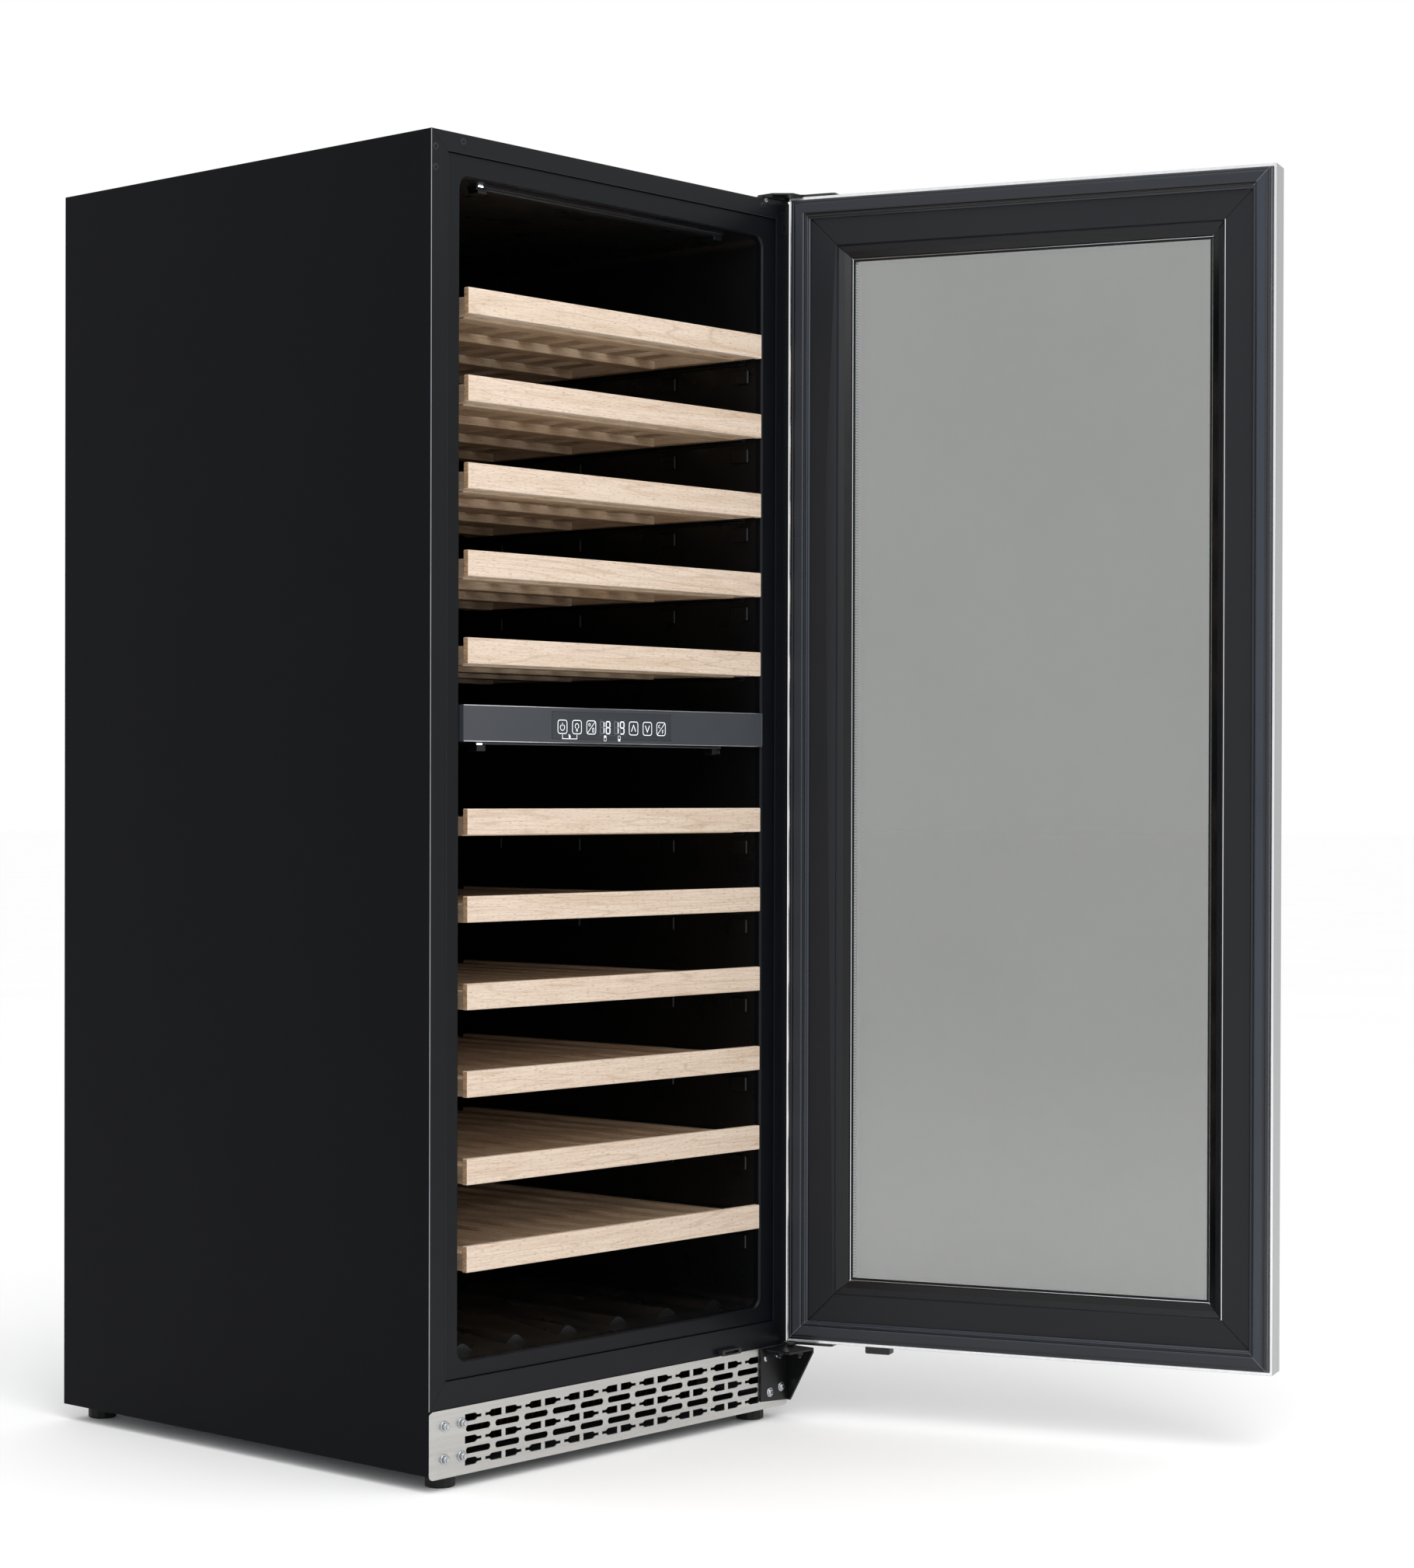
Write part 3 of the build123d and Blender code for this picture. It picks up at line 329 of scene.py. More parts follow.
SOFT_EDGE = {
    "side_panel_left": 0.5, "side_panel_right": 0.5, "top_panel": 0.5, "back_panel": 0.5, "front_flange": 0.35,
    "zone_divider": 1.2, "control_panel": 0.8, "control_display": 0.5, "led_strips": 0.8,
    "kick_plate": 0.3, "levelling_feet": 0.5, "power_inlet": 0.4,
    "door_frame": 0.45, "door_liner": 0.8, "door_tab": 1.0, "door_hinge_plates": 0.3,
    "compressor": 1.2, "base_pan": 0.4, "duct_cover_upper": 0.8, "duct_cover_lower": 0.8,
    "condenser_fan_bracket": 0.4, "fixed_rails": 0.25, "step_frame": 0.6,
}


def dress(name, key, edge=None):
    o = nodes[name]
    o.data.materials.clear()
    o.data.materials.append(M[key])
    for p in o.data.polygons:
        p.material_index = 0
    if edge:
        w = o.modifiers.new("weld", "WELD")
        w.merge_threshold = 1e-6
        b = o.modifiers.new("edge", "BEVEL")
        b.width = edge * MM
        b.segments = 2
        b.limit_method = "ANGLE"
        b.angle_limit = math.radians(35)
        b.harden_normals = False
        b.use_clamp_overlap = True
    return o


for n in nodes:
    if n in FINISH:
        dress(n, FINISH[n], SOFT_EDGE.get(n))
    elif n.endswith("_runners"):
        dress(n, "rail", 0.25)


# ------------------------------------------------------------------ mesh helpers
def make(name, verts, faces, keys, body, index=None, smooth=False, place=None, replaces=()):
    me = bpy.data.meshes.new(name)
    me.from_pydata([tuple(v) for v in verts], [], [tuple(f) for f in faces])
    for k in keys:
        me.materials.append(M[k])
    if index:
        for p, i in zip(me.polygons, index):
            p.material_index = i
    o = bpy.data.objects.new(name, me)
    bpy.context.scene.collection.objects.link(o)
    bm = bmesh.new()
    bm.from_mesh(me)
    bmesh.ops.recalc_face_normals(bm, faces=bm.faces)
    bm.to_mesh(me)
    bm.free()
    for p in me.polygons:
        p.use_smooth = smooth
    if place is not None:
        o.matrix_world = place
    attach(o, body)
    if replaces:
        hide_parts(*replaces)
    return o


class Build:
    """Collects bevelled boxes, prisms and turned parts into one mesh."""

    def __init__(self):
        self.bm = bmesh.new()

    def box(self, x0, x1, y0, y1, z0, z1, mat=0, bevel=0.0, seg=2, end=None, end_mat=None):
        t = bmesh.new()
        v = [t.verts.new((x, y, z)) for z in (z0, z1) for y in (y0, y1) for x in (x0, x1)]
        for f in ((0, 2, 3, 1), (4, 5, 7, 6), (0, 1, 5, 4), (1, 3, 7, 5), (3, 2, 6, 7), (2, 0, 4, 6)):
            t.faces.new([v[i] for i in f])
        if bevel:
            bmesh.ops.bevel(t, geom=list(t.edges), offset=bevel, segments=seg, profile=0.5, affect="EDGES")
        bmesh.ops.recalc_face_normals(t, faces=t.faces)
        for f in t.faces:
            f.material_index = mat
            if end is not None and abs(f.normal[end]) > 0.9:
                f.material_index = end_mat
        self.take(t)

    def prism(self, outline, axis, a, b, mat=0, bevel=0.0):
        """outline: points in the two other axes, in x, y, z order."""
        t = bmesh.new()

        def at(p, w):
            q = [0, 0, 0]
            o = [i for i in range(3) if i != axis]
            q[o[0]], q[o[1]], q[axis] = p[0], p[1], w
            return q

        lo = [t.verts.new(at(p, a)) for p in outline]
        hi = [t.verts.new(at(p, b)) for p in outline]
        n = len(outline)
        t.faces.new(lo)
        t.faces.new(hi)
        for i in range(n):
            j = (i + 1) % n
            t.faces.new((lo[i], lo[j], hi[j], hi[i]))
        bmesh.ops.recalc_face_normals(t, faces=t.faces)
        if bevel:
            bmesh.ops.bevel(t, geom=list(t.edges), offset=bevel, segments=2, profile=0.5, affect="EDGES")
        for f in t.faces:
            f.material_index = mat
        self.take(t)

    def turned(self, profile, origin, direction, mat=0, n=24):
        """profile: (radius, height along direction)."""
        t = bmesh.new()
        d = Vector(direction).normalized()
        u = d.orthogonal().normalized()
        w = d.cross(u)
        rings = []
        for r, h in profile:
            c = Vector(origin) + d * h
            if r < 1e-9:
                rings.append([t.verts.new(c)])
            else:
                rings.append([t.verts.new(c + (u * math.cos(2 * math.pi * k / n) + w * math.sin(2 * math.pi * k / n)) * r) for k in range(n)])
        for a, b in zip(rings, rings[1:]):
            for k in range(n):
                j = (k + 1) % n
                if len(a) == 1 and len(b) == 1:
                    continue
                if len(a) == 1:
                    t.faces.new((a[0], b[k], b[j]))
                elif len(b) == 1:
                    t.faces.new((a[k], b[0], a[j]))
                else:
                    t.faces.new((a[k], a[j], b[j], b[k]))
        if len(rings[0]) > 1:
            t.faces.new(rings[0])
        if len(rings[-1]) > 1:
            t.faces.new(rings[-1])
        bmesh.ops.recalc_face_normals(t, faces=t.faces)
        for f in t.faces:
            f.material_index = mat
            f.smooth = len(f.verts) <= 4
        self.take(t)

    def ribbon(self, pts, width, axis_y, thick=0.00012, mat=0, closed=False):
        """A flat stroke in the XZ plane, standing out towards -Y."""
        n = len(pts)
        left, right = [], []
        for i in range(n):
            p = Vector(pts[i])
            a = Vector(pts[(i - 1) % n]) if (closed or i > 0) else p
            b = Vector(pts[(i + 1) % n]) if (closed or i < n - 1) else p
            d = (p - a).normalized() if (p - a).length > 0 else Vector((0, 0))
            e = (b - p).normalized() if (b - p).length > 0 else Vector((0, 0))
            t = (d + e)
            t = t.normalized() if t.length > 1e-9 else e
            nrm = Vector((-t.y, t.x))
            c = max(0.5, t.dot(e if e.length else d))
            left.append(p + nrm * width / 2 / c)
            right.append(p - nrm * width / 2 / c)
        m = n if closed else n - 1
        t = self.bm
        L = [t.verts.new((q.x, axis_y, q.y)) for q in left]
        R = [t.verts.new((q.x, axis_y, q.y)) for q in right]
        L2 = [t.verts.new((q.x, axis_y - thick, q.y)) for q in left]
        R2 = [t.verts.new((q.x, axis_y - thick, q.y)) for q in right]
        for i in range(m):
            j = (i + 1) % n
            for quad in ((L2[i], L2[j], R2[j], R2[i]), (L[i], L[j], L2[j], L2[i]), (R[i], R[j], R2[j], R2[i]), (L[i], L[j], R[j], R[i])):
                try:
                    f = t.faces.new(quad)
                    f.material_index = mat
                except ValueError:
                    pass

    def take(self, t):
        me = bpy.data.meshes.new("tmp")
        t.to_mesh(me)
        t.free()
        self.bm.from_mesh(me)
        bpy.data.meshes.remove(me)

    def finish(self, name, keys, body, place=None, replaces=(), smooth=None):
        me = bpy.data.meshes.new(name)
        if smooth is None:
            bmesh.ops.recalc_face_normals(self.bm, faces=self.bm.faces)
        self.bm.to_mesh(me)
        self.bm.free()
        for k in keys:
            me.materials.append(M[k])
        o = bpy.data.objects.new(name, me)
        bpy.context.scene.collection.objects.link(o)
        if place is not None:
            o.matrix_world = place
        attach(o, body)
        if replaces:
            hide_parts(*replaces)
        return o


def rim_sweep(b, section, mat=0, x0=-HW, x1=HW, z0=DOOR_Z0, z1=DOOR_Z1, mats=None, closed=True, sides=None):
    """A section of (distance from the edge, y) carried round a rectangle, with mitred corners."""
    t = b.bm
    corners = [(x0, z0, 1, 1), (x1, z0, -1, 1), (x1, z1, -1, -1), (x0, z1, 1, -1)]
    rings = [[t.verts.new((cx + ix * s, y, cz + iz * s)) for s, y in section] for cx, cz, ix, iz in corners]
    n = len(section)
    for k in range(4):
        a, c = rings[k], rings[(k + 1) % 4]
        for i in range(n if closed else n - 1):
            j = (i + 1) % n
            f = t.faces.new((a[i], a[j], c[j], c[i]))
            row = mats[k] if mats and isinstance(mats[0], list) else mats
            f.material_index = sides[k] if sides else row[i] if row else mat


def door_y(y):
    return F + y


# ------------------------------------------------------------------ shelves
for i, zt in enumerate(SHELF_Z):
    k = i + 1
    y0 = -0.003
    b = Build()
    hw = 0.24415
    jit = rng.uniform(-0.00015, 0.00015)
    # front board: fibres across, end grain at both ends, small round-over on every edge
    b.box(-hw, hw, F + y0, F + y0 + 0.008, zt - 0.0286, zt, mat=0, bevel=0.0011, seg=3, end=0, end_mat=2)
    b.box(-0.2259, 0.2259, F + y0 + 0.0078, F + y0 + 0.016, zt - 0.0286, zt - 0.0136, mat=0, bevel=0.0007, end=0, end_mat=2)
    for s in (-1, 1):
        a, c = sorted((s * 0.226, s * 0.238))
        b.box(a, c, F + y0 + 0.00805, F + 0.488, zt - 0.0286, zt - 0.009, mat=1, bevel=0.0008, end=1, end_mat=2)
    for yy in (0.040, 0.170, 0.310, 0.450):
        b.box(-0.22595, 0.22595, F + y0 + yy - 0.013, F + y0 + yy + 0.013, zt - 0.030, zt - 0.0195, mat=3, bevel=0.0009, end=0, end_mat=2)
    for g in range(9):
        x = (g - 4) * 0.050 + rng.uniform(-0.0003, 0.0003)
        b.box(x - 0.012, x + 0.012, F + y0 + 0.0161, F + 0.488 - 0.0001, zt - 0.01945, zt - 0.01145, mat=1, bevel=0.0011, seg=3, end=1, end_mat=2)
    # countersunk pins that hold the slats to the battens
    for g in range(9):
        for yy in (0.040, 0.170, 0.310, 0.450):
            x = (g - 4) * 0.050
            b.turned([(0.0017, 0.0), (0.0017, 0.00015), (0.0012, 0.0003), (0.0, 0.00034)], (x, F + y0 + yy, zt - 0.01146), (0, 0, 1), mat=4, n=10)
    o = b.finish(f"shelf_{k:02d}_beech", ["wood_x", "wood_y", "wood_end", "wood_x2", "zinc"], f"shelf_{k:02d}", replaces=[f"shelf_{k:02d}_rack"], smooth=False)
    # screws that hold the runners to the side rails
    b = Build()
    for s in (-1, 1):
        for yy in (0.115, 0.300, 0.430):
            b.turned([(0.0034, 0.0), (0.0034, 0.0002), (0.0026, 0.0005), (0.0010, 0.0006), (0.0, 0.0006)], (s * 0.24605, F + y0 + yy, zt - 0.021), (-s, 0, 0), mat=0, n=16)
    b.finish(f"shelf_{k:02d}_runner_screws", ["zinc"], f"shelf_{k:02d}", smooth=False)

# ------------------------------------------------------------------ door seal, in the closed position and then hung
S = [(0.0040, -0.00995), (0.0040, -0.0062), (0.0046, -0.0050), (0.0046, -0.0026), (0.0058, -0.0010), (0.0078, -0.0006),
     (0.0086, -0.0013), (0.0094, -0.0006), (0.0112, -0.0004), (0.0200, -0.0005), (0.0216, -0.0012), (0.0224, -0.0032),
     (0.0232, -0.0036), (0.0240, -0.0030), (0.0252, -0.0030), (0.0262, -0.0042), (0.0250, -0.0058), (0.0240, -0.0066),
     (0.0258, -0.0072), (0.0275, -0.0084), (0.0275, -0.00995)]
b = Build()
# rows of painted highlight and painted shade per face of the section: the lighter copy where highlights fall, the
# darker copies elsewhere; the top and the free side get their own rows
PAINTED_LIGHT_ROWS = [0, 0, 1, 2, 2, 1, 1, 2, 2, 0, 1, 1, 1, 0, 0, 0, 1, 1, 0, 0, 0]
TOP_PAINTED_LIGHT_ROWS = [0, 0, 1, 2, 2, 1, 1, 2, 2, 1, 1, 1, 1, 1, 1, 1, 1, 1, 0, 0, 0]
FREE_PAINTED_LIGHT_ROWS = [0, 0, 1, 1, 2, 1, 1, 2, 0, 0, 1, 1, 1, 2, 1, 1, 1, 1, 0, 0, 0]
rim_sweep(b, [(s, door_y(y)) for s, y in S], mats=[PAINTED_LIGHT_ROWS, PAINTED_LIGHT_ROWS, TOP_PAINTED_LIGHT_ROWS, FREE_PAINTED_LIGHT_ROWS])
seal = b.finish("seal_bellows", ["seal", "seal_painted_shade", "seal_painted_half_shade"], "door", place=HANG, replaces=["door_gasket"])
bv = seal.modifiers.new("soft", "BEVEL")
bv.width = 0.0004
bv.segments = 2
bv.limit_method = "ANGLE"
bv.angle_limit = math.radians(25)
# weld seams across the corners that show
b = Build()
for cx, cz, ix, iz in ((-HW, DOOR_Z0, 1, 1), (HW, DOOR_Z0, -1, 1), (-HW, DOOR_Z1, 1, -1)):
    dx, dz = -ix * 0.00022, iz * 0.00022
    sec = [(s, y + 0.00022) for s, y in S]
    lo = [b.bm.verts.new((cx + ix * s + dx, door_y(y), cz + iz * s + dz)) for s, y in sec]
    hi = [b.bm.verts.new((cx + ix * s - dx, door_y(y), cz + iz * s - dz)) for s, y in sec]
    for q in range(len(sec)):
        r = (q + 1) % len(sec)
        b.bm.faces.new((lo[q], lo[r], hi[r], hi[q]))
    b.bm.faces.new(lo)
    b.bm.faces.new(hi)
b.finish("seal_welds", ["weld"], "door", place=HANG)

# bright lines of the glazing bead, with a painted highlight on the free side only, and the mitres of the inner border
b = Build()
# outer bead: bright on the free side and seam grey on the other three sides, a painted highlight on one side only
rim_sweep(b, [(0.0612, door_y(-0.01235)), (0.0612, door_y(-0.0112)), (0.0624, door_y(-0.0132)), (0.0624, door_y(-0.0142))], sides=[2, 2, 2, 0])
rim_sweep(b, [(0.0750, door_y(-0.0222)), (0.0750, door_y(-0.0210)), (0.0772, door_y(-0.0231)), (0.0772, door_y(-0.0233))], mat=0)
rim_sweep(b, [(0.0776, door_y(-0.02335)), (0.0776, door_y(-0.0229)), (0.0800, door_y(-0.0229)), (0.0800, door_y(-0.02335))], mat=1)
rim_sweep(b, [(0.0685, door_y(-0.01680)), (0.0685, door_y(-0.01650)), (0.0752, door_y(-0.02028)), (0.0752, door_y(-0.02060))], mat=3)
# a bright strip down the free side only: painted highlight
b.box(-HW + 0.0591, -HW + 0.0600, door_y(-0.00998), door_y(-0.00984), DOOR_Z0 + 0.0600, DOOR_Z1 - 0.0600, mat=0)
b.finish("glazing_beads_and_painted_highlight", ["line", "groove", "seam", "gloss"], "door", place=HANG)
b = Build()
for cx, cz, ix, iz in ((-HW, DOOR_Z0, 1, 1), (HW, DOOR_Z0, -1, 1), (HW, DOOR_Z1, -1, -1), (-HW, DOOR_Z1, 1, -1)):
    dx, dz = -ix * 0.00009, iz * 0.00009
    sec = [(0.0280, -0.0104), (0.0280, -0.00996), (0.0601, -0.00996), (0.0621, -0.01296), (0.0754, -0.02046), (0.0754, -0.0212), (0.061, -0.0134)]
    lo = [b.bm.verts.new((cx + ix * s + dx, door_y(y), cz + iz * s + dz)) for s, y in sec]
    hi = [b.bm.verts.new((cx + ix * s - dx, door_y(y), cz + iz * s - dz)) for s, y in sec]
    for q in range(len(sec)):
        r = (q + 1) % len(sec)
        b.bm.faces.new((lo[q], lo[r], hi[r], hi[q]))
    b.bm.faces.new(lo)
    b.bm.faces.new(hi)
b.finish("liner_mitres", ["groove"], "door", place=HANG)

# bright folded lip round the door, in front of the seal
b = Build()
rim_sweep(b, [(0.0003, door_y(-0.01125)), (0.0003, door_y(-0.00998)), (0.0033, door_y(-0.00998)), (0.0033, door_y(-0.0103))], mat=0)
b.finish("door_lip", ["lip"], "door", place=HANG)

# perforated ribs along the spacer between the panes, on all four sides, made to glow white: painted highlight
b = Build()
SP = 0.0781
for side in (-1, 1):
    x = side * (HW - SP)
    a, c = sorted((x, x - side * 0.00025))
    z = DOOR_Z0 + 0.0800
    while z < DOOR_Z1 - 0.0815:
        b.box(a, c, door_y(-0.0380), door_y(-0.0292), z, z + 0.0017, mat=0)
        z += 0.0034
for zz, sgn in ((DOOR_Z0 + SP, 1), (DOOR_Z1 - SP, -1)):
    a, c = sorted((zz, zz + sgn * 0.00025))
    x = -HW + 0.0800
    while x < HW - 0.0815:
        b.box(x, x + 0.0017, door_y(-0.0380), door_y(-0.0292), a, c, mat=0)
        x += 0.0034
b.finish("spacer_dots_painted_glow", ["dot"], "door", place=HANG, smooth=False)


# ------------------------------------------------------------------ screws
def pan_screw(b, at, d, r, h, mat=0, recess=1):
    d = Vector(d)
    b.turned([(r, 0.0), (r, h * 0.35), (r * 0.93, h * 0.62), (r * 0.76, h * 0.85), (r * 0.45, h * 0.97), (0.0, h)], at, d, mat=mat, n=28)
    c = Vector(at) + d * (h * 1.0)
    u = d.orthogonal().normalized()
    w = d.cross(u)
    for p, q in ((u, w), (w, u)):
        t = bmesh.new()
        vs = [t.verts.new(c + p * (sa * r * 0.52) + q * (sb * r * 0.13) + d * sc * (0.00012 if sc > 0 else 0.0006)) for sc in (-1, 1) for sa in (-1, 1) for sb in (-1, 1)]
        for f in ((0, 1, 3, 2), (4, 6, 7, 5), (0, 4, 5, 1), (1, 5, 7, 3), (3, 7, 6, 2), (2, 6, 4, 0)):
            t.faces.new([vs[i] for i in f])
        for f in t.faces:
            f.material_index = recess
        b.take(t)


b = Build()
out = (0, -1, 0)
for sx in (-1, 1):
    for x, z in ((0.291, 1.449), (0.291, 1.4265), (0.2495, 1.460)):
        if sx > 0 and x > 0.28:
            continue
        pan_screw(b, (sx * x, F - 0.00002, z), out, 0.0040, 0.00022)
for x in (-0.2762, -0.2500):
    for z in (0.0345, 0.0704):
        # hexagon head with a pressed washer
        b.turned([(0.0060, 0.0), (0.0060, 0.0008), (0.0055, 0.0014), (0.0048, 0.0014)], (x, F - 0.00152, z), out, mat=2, n=32)
        b.turned([(0.0046, 0.0), (0.0046, 0.0033), (0.0042, 0.0038), (0.0030, 0.0038), (0.0026, 0.0030), (0.0, 0.0029)], (x, F - 0.0029, z), out, mat=2, n=6)
for x, z in ((0.254, 0.075), (0.276, 0.077)):
    pan_screw(b, (x, F - 0.00452, z), out, 0.0034, 0.0021, mat=2)
for x, z in ((0.262, 0.034), (0.283, 0.038)):
    b.turned([(0.0058, 0.0), (0.0058, 0.0009), (0.0052, 0.0012), (0.0, 0.0012)], (x, F - 0.00452, z), out, mat=2, n=32)
    pan_screw(b, (x, F - 0.00560, z), out, 0.0042, 0.0024, mat=2)
for z in (1.438, 1.459):
    pan_screw(b, (0.289, F - 0.00018, z), out, 0.0036, 0.00006)
b.finish("cabinet_screw_heads", ["screw_black", "groove", "zinc"], "cabinet", replaces=["cabinet_screws"], smooth=False)

# ------------------------------------------------------------------ hinge brackets of the cabinet
TOP = 1.468
b = Build()
# upper: foot on the top sheet, riser, flange over the front edge, arm, tab down the flange and pin
b.box(0.248, 0.296, F + 0.0003, F + 0.062, TOP + 0.0001, TOP + 0.003, mat=0, bevel=0.0006)
b.box(0.262, 0.296, F + 0.0003, F + 0.020, TOP + 0.0028, TOP + 0.0060, mat=0, bevel=0.0005)
b.box(0.2485, 0.2955, F - 0.0030, F + 0.0008, TOP + 0.0017, TOP + 0.0031, mat=0, bevel=0.0003)
b.box(0.262, 0.2955, F - 0.0030, F + 0.0010, TOP + 0.0020, TOP + 0.0060, mat=0, bevel=0.0005)
# below the edge of the seal the plate and the tab lie in the gap of the closed seal
b.box(0.2485, 0.2955, F - 0.00020, F - 0.00003, TOP - 0.0050, TOP + 0.0020, mat=0)
b.prism([(0.262, F + 0.020), (0.296, F + 0.020), (0.3035, F - 0.003), (0.3035, F - 0.018), (0.2985, F - 0.0225), (0.278, F - 0.0225), (0.262, F - 0.0034)], 2, TOP + 0.0057, TOP + 0.0079, mat=0, bevel=0.0005)
b.box(0.282, 0.296, F - 0.00020, F - 0.00003, 1.430, TOP - 0.0045, mat=0)
b.turned([(0.0060, 0.0), (0.0060, 0.0006), (0.0054, 0.0011), (0.0024, 0.0011), (0.0024, 0.0006), (0.0, 0.0006)], (PIVOT.x, PIVOT.y, TOP + 0.0079), (0, 0, 1), mat=1, n=28)
pan_screw(b, (0.2550, F - 0.00018, TOP - 0.0012), out, 0.0028, 0.00006, mat=2)
for x in (0.256, 0.288):
    pan_screw(b, (x, F + 0.048, TOP + 0.0030), (0, 0, 1), 0.0042, 0.0022, mat=1)
# lower: front plate, gusset with one slant, arm, bolts and pin
b.prism([(0.246, 0.0240), (0.2975, 0.0205), (0.2975, 0.0875), (0.246, 0.0875)], 1, F - 0.0045, F - 0.0016, mat=0, bevel=0.0006)
b.prism([(F - 0.0044, 0.0205), (F - 0.0044, 0.0872), (F - 0.044, 0.0872), (F - 0.044, 0.0815), (F - 0.0085, 0.0205)], 0, 0.2946, 0.2975, mat=0, bevel=0.0005)
b.box(0.252, 0.2975, F - 0.044, F - 0.0040, 0.0842, 0.0875, mat=0, bevel=0.0006)
b.turned([(0.004, 0.0), (0.004, 0.0036), (0.0035, 0.0041), (0.0, 0.0041)], (PIVOT.x, PIVOT.y, 0.0875), (0, 0, 1), mat=1, n=24)
for x, y in ((0.266, 0.0165), (0.2835, 0.0330)):
    b.turned([(0.0056, 0.0), (0.0056, 0.0007), (0.0048, 0.0008), (0.0048, 0.0044), (0.0043, 0.0049), (0.0, 0.0049)], (x, F - y, 0.0842), (0, 0, -1), mat=0, n=6)
    b.turned([(0.0026, 0.0), (0.0026, 0.0034), (0.0020, 0.0040), (0.0, 0.0040)], (x, F - y, 0.0842 - 0.0048), (0, 0, -1), mat=1, n=16)
b.finish("cabinet_hinges", ["hinge", "screw_black", "zinc"], "cabinet", replaces=["hinge_brackets"], smooth=False)

# ------------------------------------------------------------------ bright strips on the outer edges of the flange, a painted highlight, and seams round the step frame
b = Build()
# painted highlight along the outer vertical edges of the flange
for s in (-1, 1):
    a, c = sorted((s * 0.29748, s * 0.29690))
    b.box(a, c, F - 0.0002, F + 0.0004, 0.0884, 1.4670, mat=0)
b.box(-0.2735, 0.2735, F - 0.00025, F + 0.0004, 1.44655, 1.44715, mat=1)
for s in (-1, 1):
    a, c = sorted((s * 0.27330, s * 0.27395))
    b.box(a, c, F - 0.00025, F + 0.0004, 0.118, 1.447, mat=1)
b.finish("flange_highlights_and_seams", ["edge", "seam"], "cabinet", smooth=False)

# ------------------------------------------------------------------ control strip symbols
b = Build()
YI = F - 0.00122
W = 0.00055


def circle(cx, cz, r, a0=0, a1=360, n=20):
    return [(cx + r * math.cos(math.radians(a0 + (a1 - a0) * k / n)), cz + r * math.sin(math.radians(a0 + (a1 - a0) * k / n))) for k in range(n + 1)]


def rounded(cx, cz, w, h, r):
    pts = []
    for sx, sz, a in ((1, 1, 0), (-1, 1, 90), (-1, -1, 180), (1, -1, 270)):
        for k in range(5):
            t = math.radians(a + 90 * k / 4)
            pts.append((cx + sx * (w / 2 - r) + r * math.cos(t), cz + sz * (h / 2 - r) + r * math.sin(t)))
    return pts


def digit(b, ch, x, z, w, h, mat=0, off=0.0, wide=0.00115):
    seg = {"a": ((0, h), (w, h)), "b": ((w, h), (w, h / 2)), "c": ((w, h / 2), (w, 0)), "d": ((0, 0), (w, 0)), "e": ((0, h / 2), (0, 0)), "f": ((0, h), (0, h / 2)), "g": ((0, h / 2), (w, h / 2))}
    on = {"1": "bc", "8": "abcdefg", "9": "abcdfg"}[ch]
    for q in on:
        (ax, az), (bx, bz) = seg[q]
        dx, dz = bx - ax, bz - az
        b.ribbon([(x + ax + dx * 0.08, z + az + dz * 0.08), (x + bx - dx * 0.08, z + bz - dz * 0.08)], wide, YI - off, mat=mat)


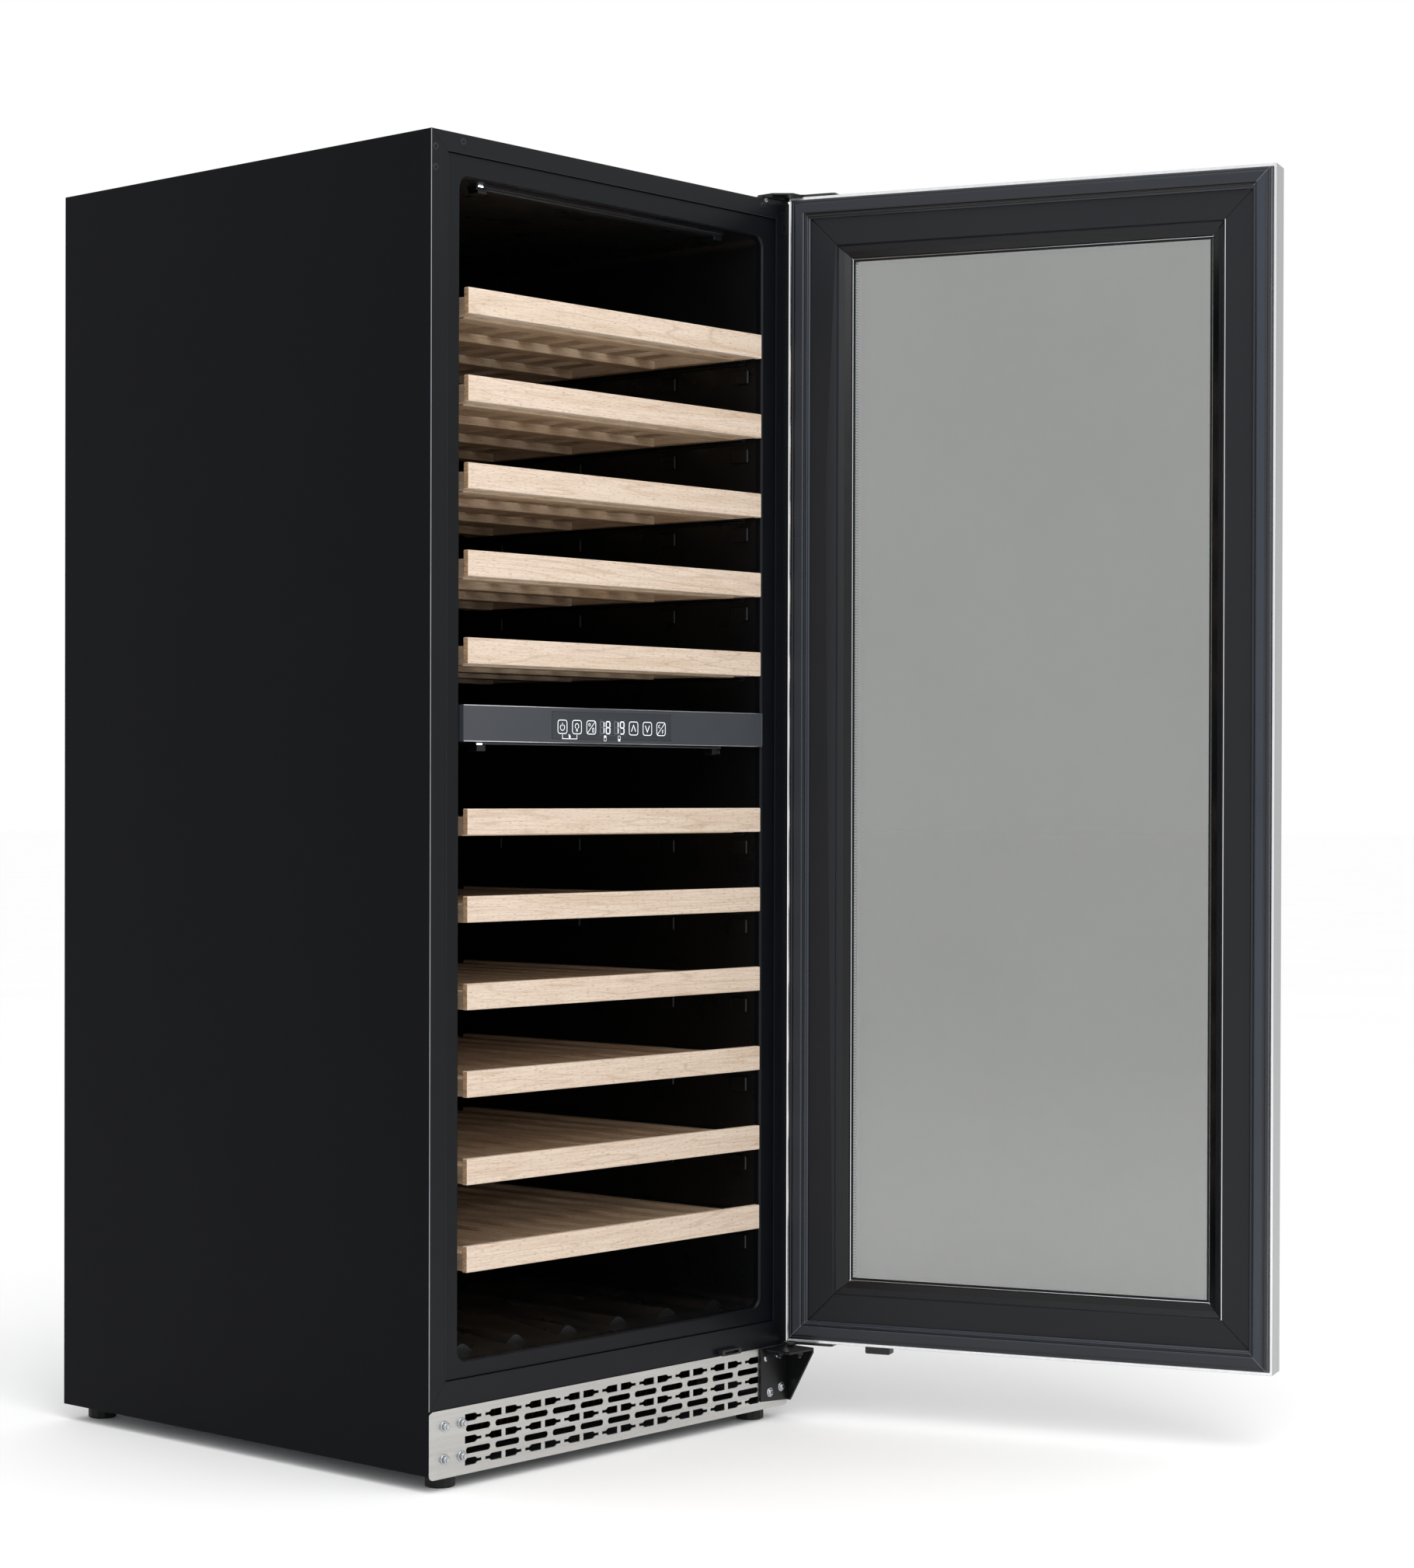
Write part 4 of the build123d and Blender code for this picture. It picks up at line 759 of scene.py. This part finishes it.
for k in range(8):
    cx, cz = (-95.2 + 23.4 * k) * MM, 0.8288
    if k in (3, 4):
        for j, ch in enumerate("18" if k == 3 else "19"):
            x = cx - 0.0088 + j * 0.0098
            digit(b, "8", x, cz - 0.0066, 0.0062, 0.0136, mat=1, off=0.00004, wide=0.0011)
            digit(b, ch, x, cz - 0.0066, 0.0062, 0.0136, mat=0, off=0.0001, wide=0.0014)
        # dim corners of the number window
        for sx in (-1, 1):
            for sz in (-1, 1):
                b.ribbon([(cx + sx * 0.0102 - sx * 0.0030, cz + sz * 0.0086), (cx + sx * 0.0102, cz + sz * 0.0086)], 0.0004, YI, mat=1)
        # zone mark under the number: a small bottle, filled in its upper or lower half
        bz = 0.8168
        b.ribbon(rounded(cx - 0.0006, bz, 0.0036, 0.0062, 0.0012), 0.00045, YI, closed=True)
        b.ribbon([(cx - 0.0016, bz + (0.0016 if k == 3 else -0.0014)), (cx + 0.0004, bz + (0.0016 if k == 3 else -0.0014))], 0.0020, YI)
        continue
    b.ribbon(rounded(cx, cz, 0.0146, 0.0150, 0.0030), 0.00085, YI, closed=True)
    if k == 0:
        b.ribbon(circle(cx, cz - 0.0006, 0.0034, 125, 415), 0.0008, YI)
        b.ribbon([(cx, cz + 0.0008), (cx, cz + 0.0046)], 0.0008, YI)
    elif k == 1:
        b.ribbon(circle(cx, cz + 0.0010, 0.0029, -55, 235), 0.0008, YI)
        for dz in (-0.0022, -0.0034, -0.0045):
            b.ribbon([(cx - 0.0014, cz + dz), (cx + 0.0014, cz + dz)], 0.0006, YI)
    elif k == 2:
        b.ribbon([(cx - 0.0062, cz - 0.0064), (cx + 0.0062, cz + 0.0064)], 0.0007, YI)
        b.ribbon(circle(cx - 0.0028, cz + 0.0030, 0.0015, 0, 360), 0.0006, YI)
        b.ribbon(rounded(cx + 0.0032, cz - 0.0030, 0.0022, 0.0046, 0.0007), 0.0006, YI, closed=True)
    elif k == 5:
        b.ribbon([(cx - 0.0036, cz - 0.0036), (cx, cz + 0.0038), (cx + 0.0036, cz - 0.0036)], 0.0010, YI)
    elif k == 6:
        b.ribbon([(cx - 0.0036, cz + 0.0036), (cx, cz - 0.0038), (cx + 0.0036, cz + 0.0036)], 0.0010, YI)
    elif k == 7:
        b.ribbon([(cx - 0.0062, cz - 0.0064), (cx + 0.0062, cz + 0.0064)], 0.0007, YI)
        b.ribbon(circle(cx - 0.0026, cz + 0.0030, 0.0017, 55, 305, 10), 0.0006, YI)
        b.ribbon([(cx + 0.0046, cz - 0.0014), (cx + 0.0022, cz - 0.0014), (cx + 0.0022, cz - 0.0054)], 0.0006, YI)
        b.ribbon([(cx + 0.0022, cz - 0.0033), (cx + 0.0040, cz - 0.0033)], 0.0006, YI)
# bracket that joins the first two symbols, with a small padlock: the key lock
b.ribbon([(-0.0952, 0.8203), (-0.0952, 0.8155), (-0.0718, 0.8155), (-0.0718, 0.8203)], 0.0007, YI)
b.ribbon([(-0.0848, 0.8178), (-0.0822, 0.8178)], 0.0026, YI)
b.ribbon(circle(-0.0843, 0.8192, 0.0011, 0, 180, 10), 0.0005, YI)
b.finish("control_symbols", ["icon", "icon_dim"], "cabinet")

# bright top, bottom and end edges of the strip
b = Build()
b.box(-0.2488, 0.2488, F - 0.00125, F - 0.0004, 0.8497, 0.85045, mat=0)
b.box(-0.2488, 0.2488, F - 0.00125, F - 0.0004, 0.81055, 0.8113, mat=0)
b.box(0.2482, 0.2489, F - 0.00125, F - 0.0004, 0.8106, 0.8504, mat=0)
b.finish("control_strip_edges", ["lip"], "cabinet", smooth=False)

# ------------------------------------------------------------------ moulded walls of the cavity
b = Build()
for i, zt in enumerate(SHELF_Z):
    nxt = zt - 0.0475
    if i in (4,):
        continue
    for s in (-1, 1):
        a, c = sorted((s * 0.2506, s * 0.2470))
        for y in (0.022, 0.140, 0.300, 0.440):
            b.box(a, c, F + y, F + y + 0.026, nxt - 0.0085, nxt + 0.0085, mat=0, bevel=0.0017, seg=3)
b.finish("wall_bosses", ["liner"], "cabinet", smooth=False)

# cradles on the cavity floor
nx, ny = 120, 24
verts, faces = [], []
for j in range(ny + 1):
    y = 0.012 + (0.430 - 0.012) * j / ny
    for i in range(nx + 1):
        x = -0.2485 + 0.497 * i / nx
        u = (x + 0.2485) / 0.497 * 5
        h = 0.0092 * (0.5 + 0.5 * math.cos(2 * math.pi * u)) ** 1.6
        e = max(0.0, min(1.0, (j / ny) * 2.6, (1 - j / ny) * 4))
        e = e * e * (3 - 2 * e)
        verts.append((x, F + y, 0.1372 + h * e))
for j in range(ny):
    for i in range(nx):
        a = j * (nx + 1) + i
        faces.append((a, a + 1, a + nx + 2, a + nx + 1))
make("floor_cradles", verts, faces, ["liner"], "cabinet", smooth=True)

# LED bar clips, with a painted highlight line along the lens and a painted glint at its end
b = Build()
for zc in (1.4205, 0.8070):
    for s in (-1, 1):
        x = s * 0.196
        b.box(x - 0.007, x + 0.007, F + 0.0255, F + 0.0405, zc - 0.0065, zc + 0.0008, mat=0, bevel=0.0008)
    # a grey line on the lens edge, a painted highlight, and a glowing spot at the bar's end shaped as the first diode,
    # a painted glint
    b.box(-0.2045, 0.2045, F + 0.02595, F + 0.02660, zc + 0.0034 - 0.0022, zc + 0.0034 - 0.0014, mat=1)
    b.box(-0.2020, -0.1945, F + 0.02560, F + 0.02700, zc + 0.0034 - 0.0030, zc + 0.0034 - 0.0012, mat=2, bevel=0.0003)
b.finish("led_clips_and_painted_highlights", ["liner", "weld", "painted_glint"], "cabinet", smooth=False)

# ------------------------------------------------------------------ stage, lights and camera
floor = bpy.data.meshes.new("floor")
bm = bmesh.new()
R = 60.0
ring = [bm.verts.new((R * math.cos(2 * math.pi * k / 64), R * math.sin(2 * math.pi * k / 64), -0.0002)) for k in range(64)]
bm.faces.new(ring)
bm.to_mesh(floor)
bm.free()
fl = bpy.data.objects.new("floor", floor)
bpy.context.scene.collection.objects.link(fl)
k = Mat("studio_floor")
n = k.noise((1.5, 1.5, 1.5), detail=3)
k.to("Base Color", k.ramp(n, [(0.3, (0.975, 0.975, 0.975)), (0.7, (0.995, 0.995, 0.995))]))
k.to("Roughness", k.span(n, 0.75, 0.85))
k.b.inputs["Specular IOR Level"].default_value = 0.1
floor.materials.append(k.m)

world = bpy.data.worlds.new("studio")
world.use_nodes = True
world.node_tree.nodes["Background"].inputs["Color"].default_value = (1.0, 1.0, 1.0, 1.0)
world.node_tree.nodes["Background"].inputs["Strength"].default_value = 1.0
bpy.context.scene.world = world
bpy.context.scene.view_settings.view_transform = "Standard"


def area(name, at, to, size, power, size_y=None):
    d = bpy.data.lights.new(name, "AREA")
    d.energy = power
    d.size = size
    if size_y:
        d.shape = "RECTANGLE"
        d.size_y = size_y
    o = bpy.data.objects.new(name, d)
    o.location = at
    o.rotation_euler = (Vector(to) - Vector(at)).to_track_quat("-Z", "Y").to_euler()
    bpy.context.scene.collection.objects.link(o)
    return o


area("key", (-1.6, -3.6, 2.9), (0.0, -0.3, 0.7), 2.4, 34)
area("top", (-0.8, -1.6, 3.6), (0.0, -0.4, 0.8), 2.6, 40)

cam_data = bpy.data.cameras.new("camera")
cam = bpy.data.objects.new("camera", cam_data)
bpy.context.scene.collection.objects.link(cam)
yaw, pitch, roll = math.radians(48.836), math.radians(-0.403), math.radians(0.151)
fwd = Vector((math.sin(yaw) * math.cos(pitch), math.cos(yaw) * math.cos(pitch), math.sin(pitch)))
right = fwd.cross(Vector((0, 0, 1))).normalized()
up = right.cross(fwd).normalized()
r2 = right * math.cos(roll) + up * math.sin(roll)
u2 = -right * math.sin(roll) + up * math.cos(roll)
rot = Matrix((r2, u2, -fwd)).transposed().to_4x4()
cam.matrix_world = Matrix.Translation(Vector((-2.7108, -2.8544, 0.7560))) @ rot
cam_data.sensor_fit = "VERTICAL"
cam_data.sensor_height = 36.0
cam_data.sensor_width = 36.0 * 1820 / 2018
cam_data.lens = 74.56
cam_data.shift_x = -0.0143
cam_data.shift_y = 0.0198
cam_data.clip_start = 0.05
cam_data.clip_end = 60
bpy.context.scene.camera = cam
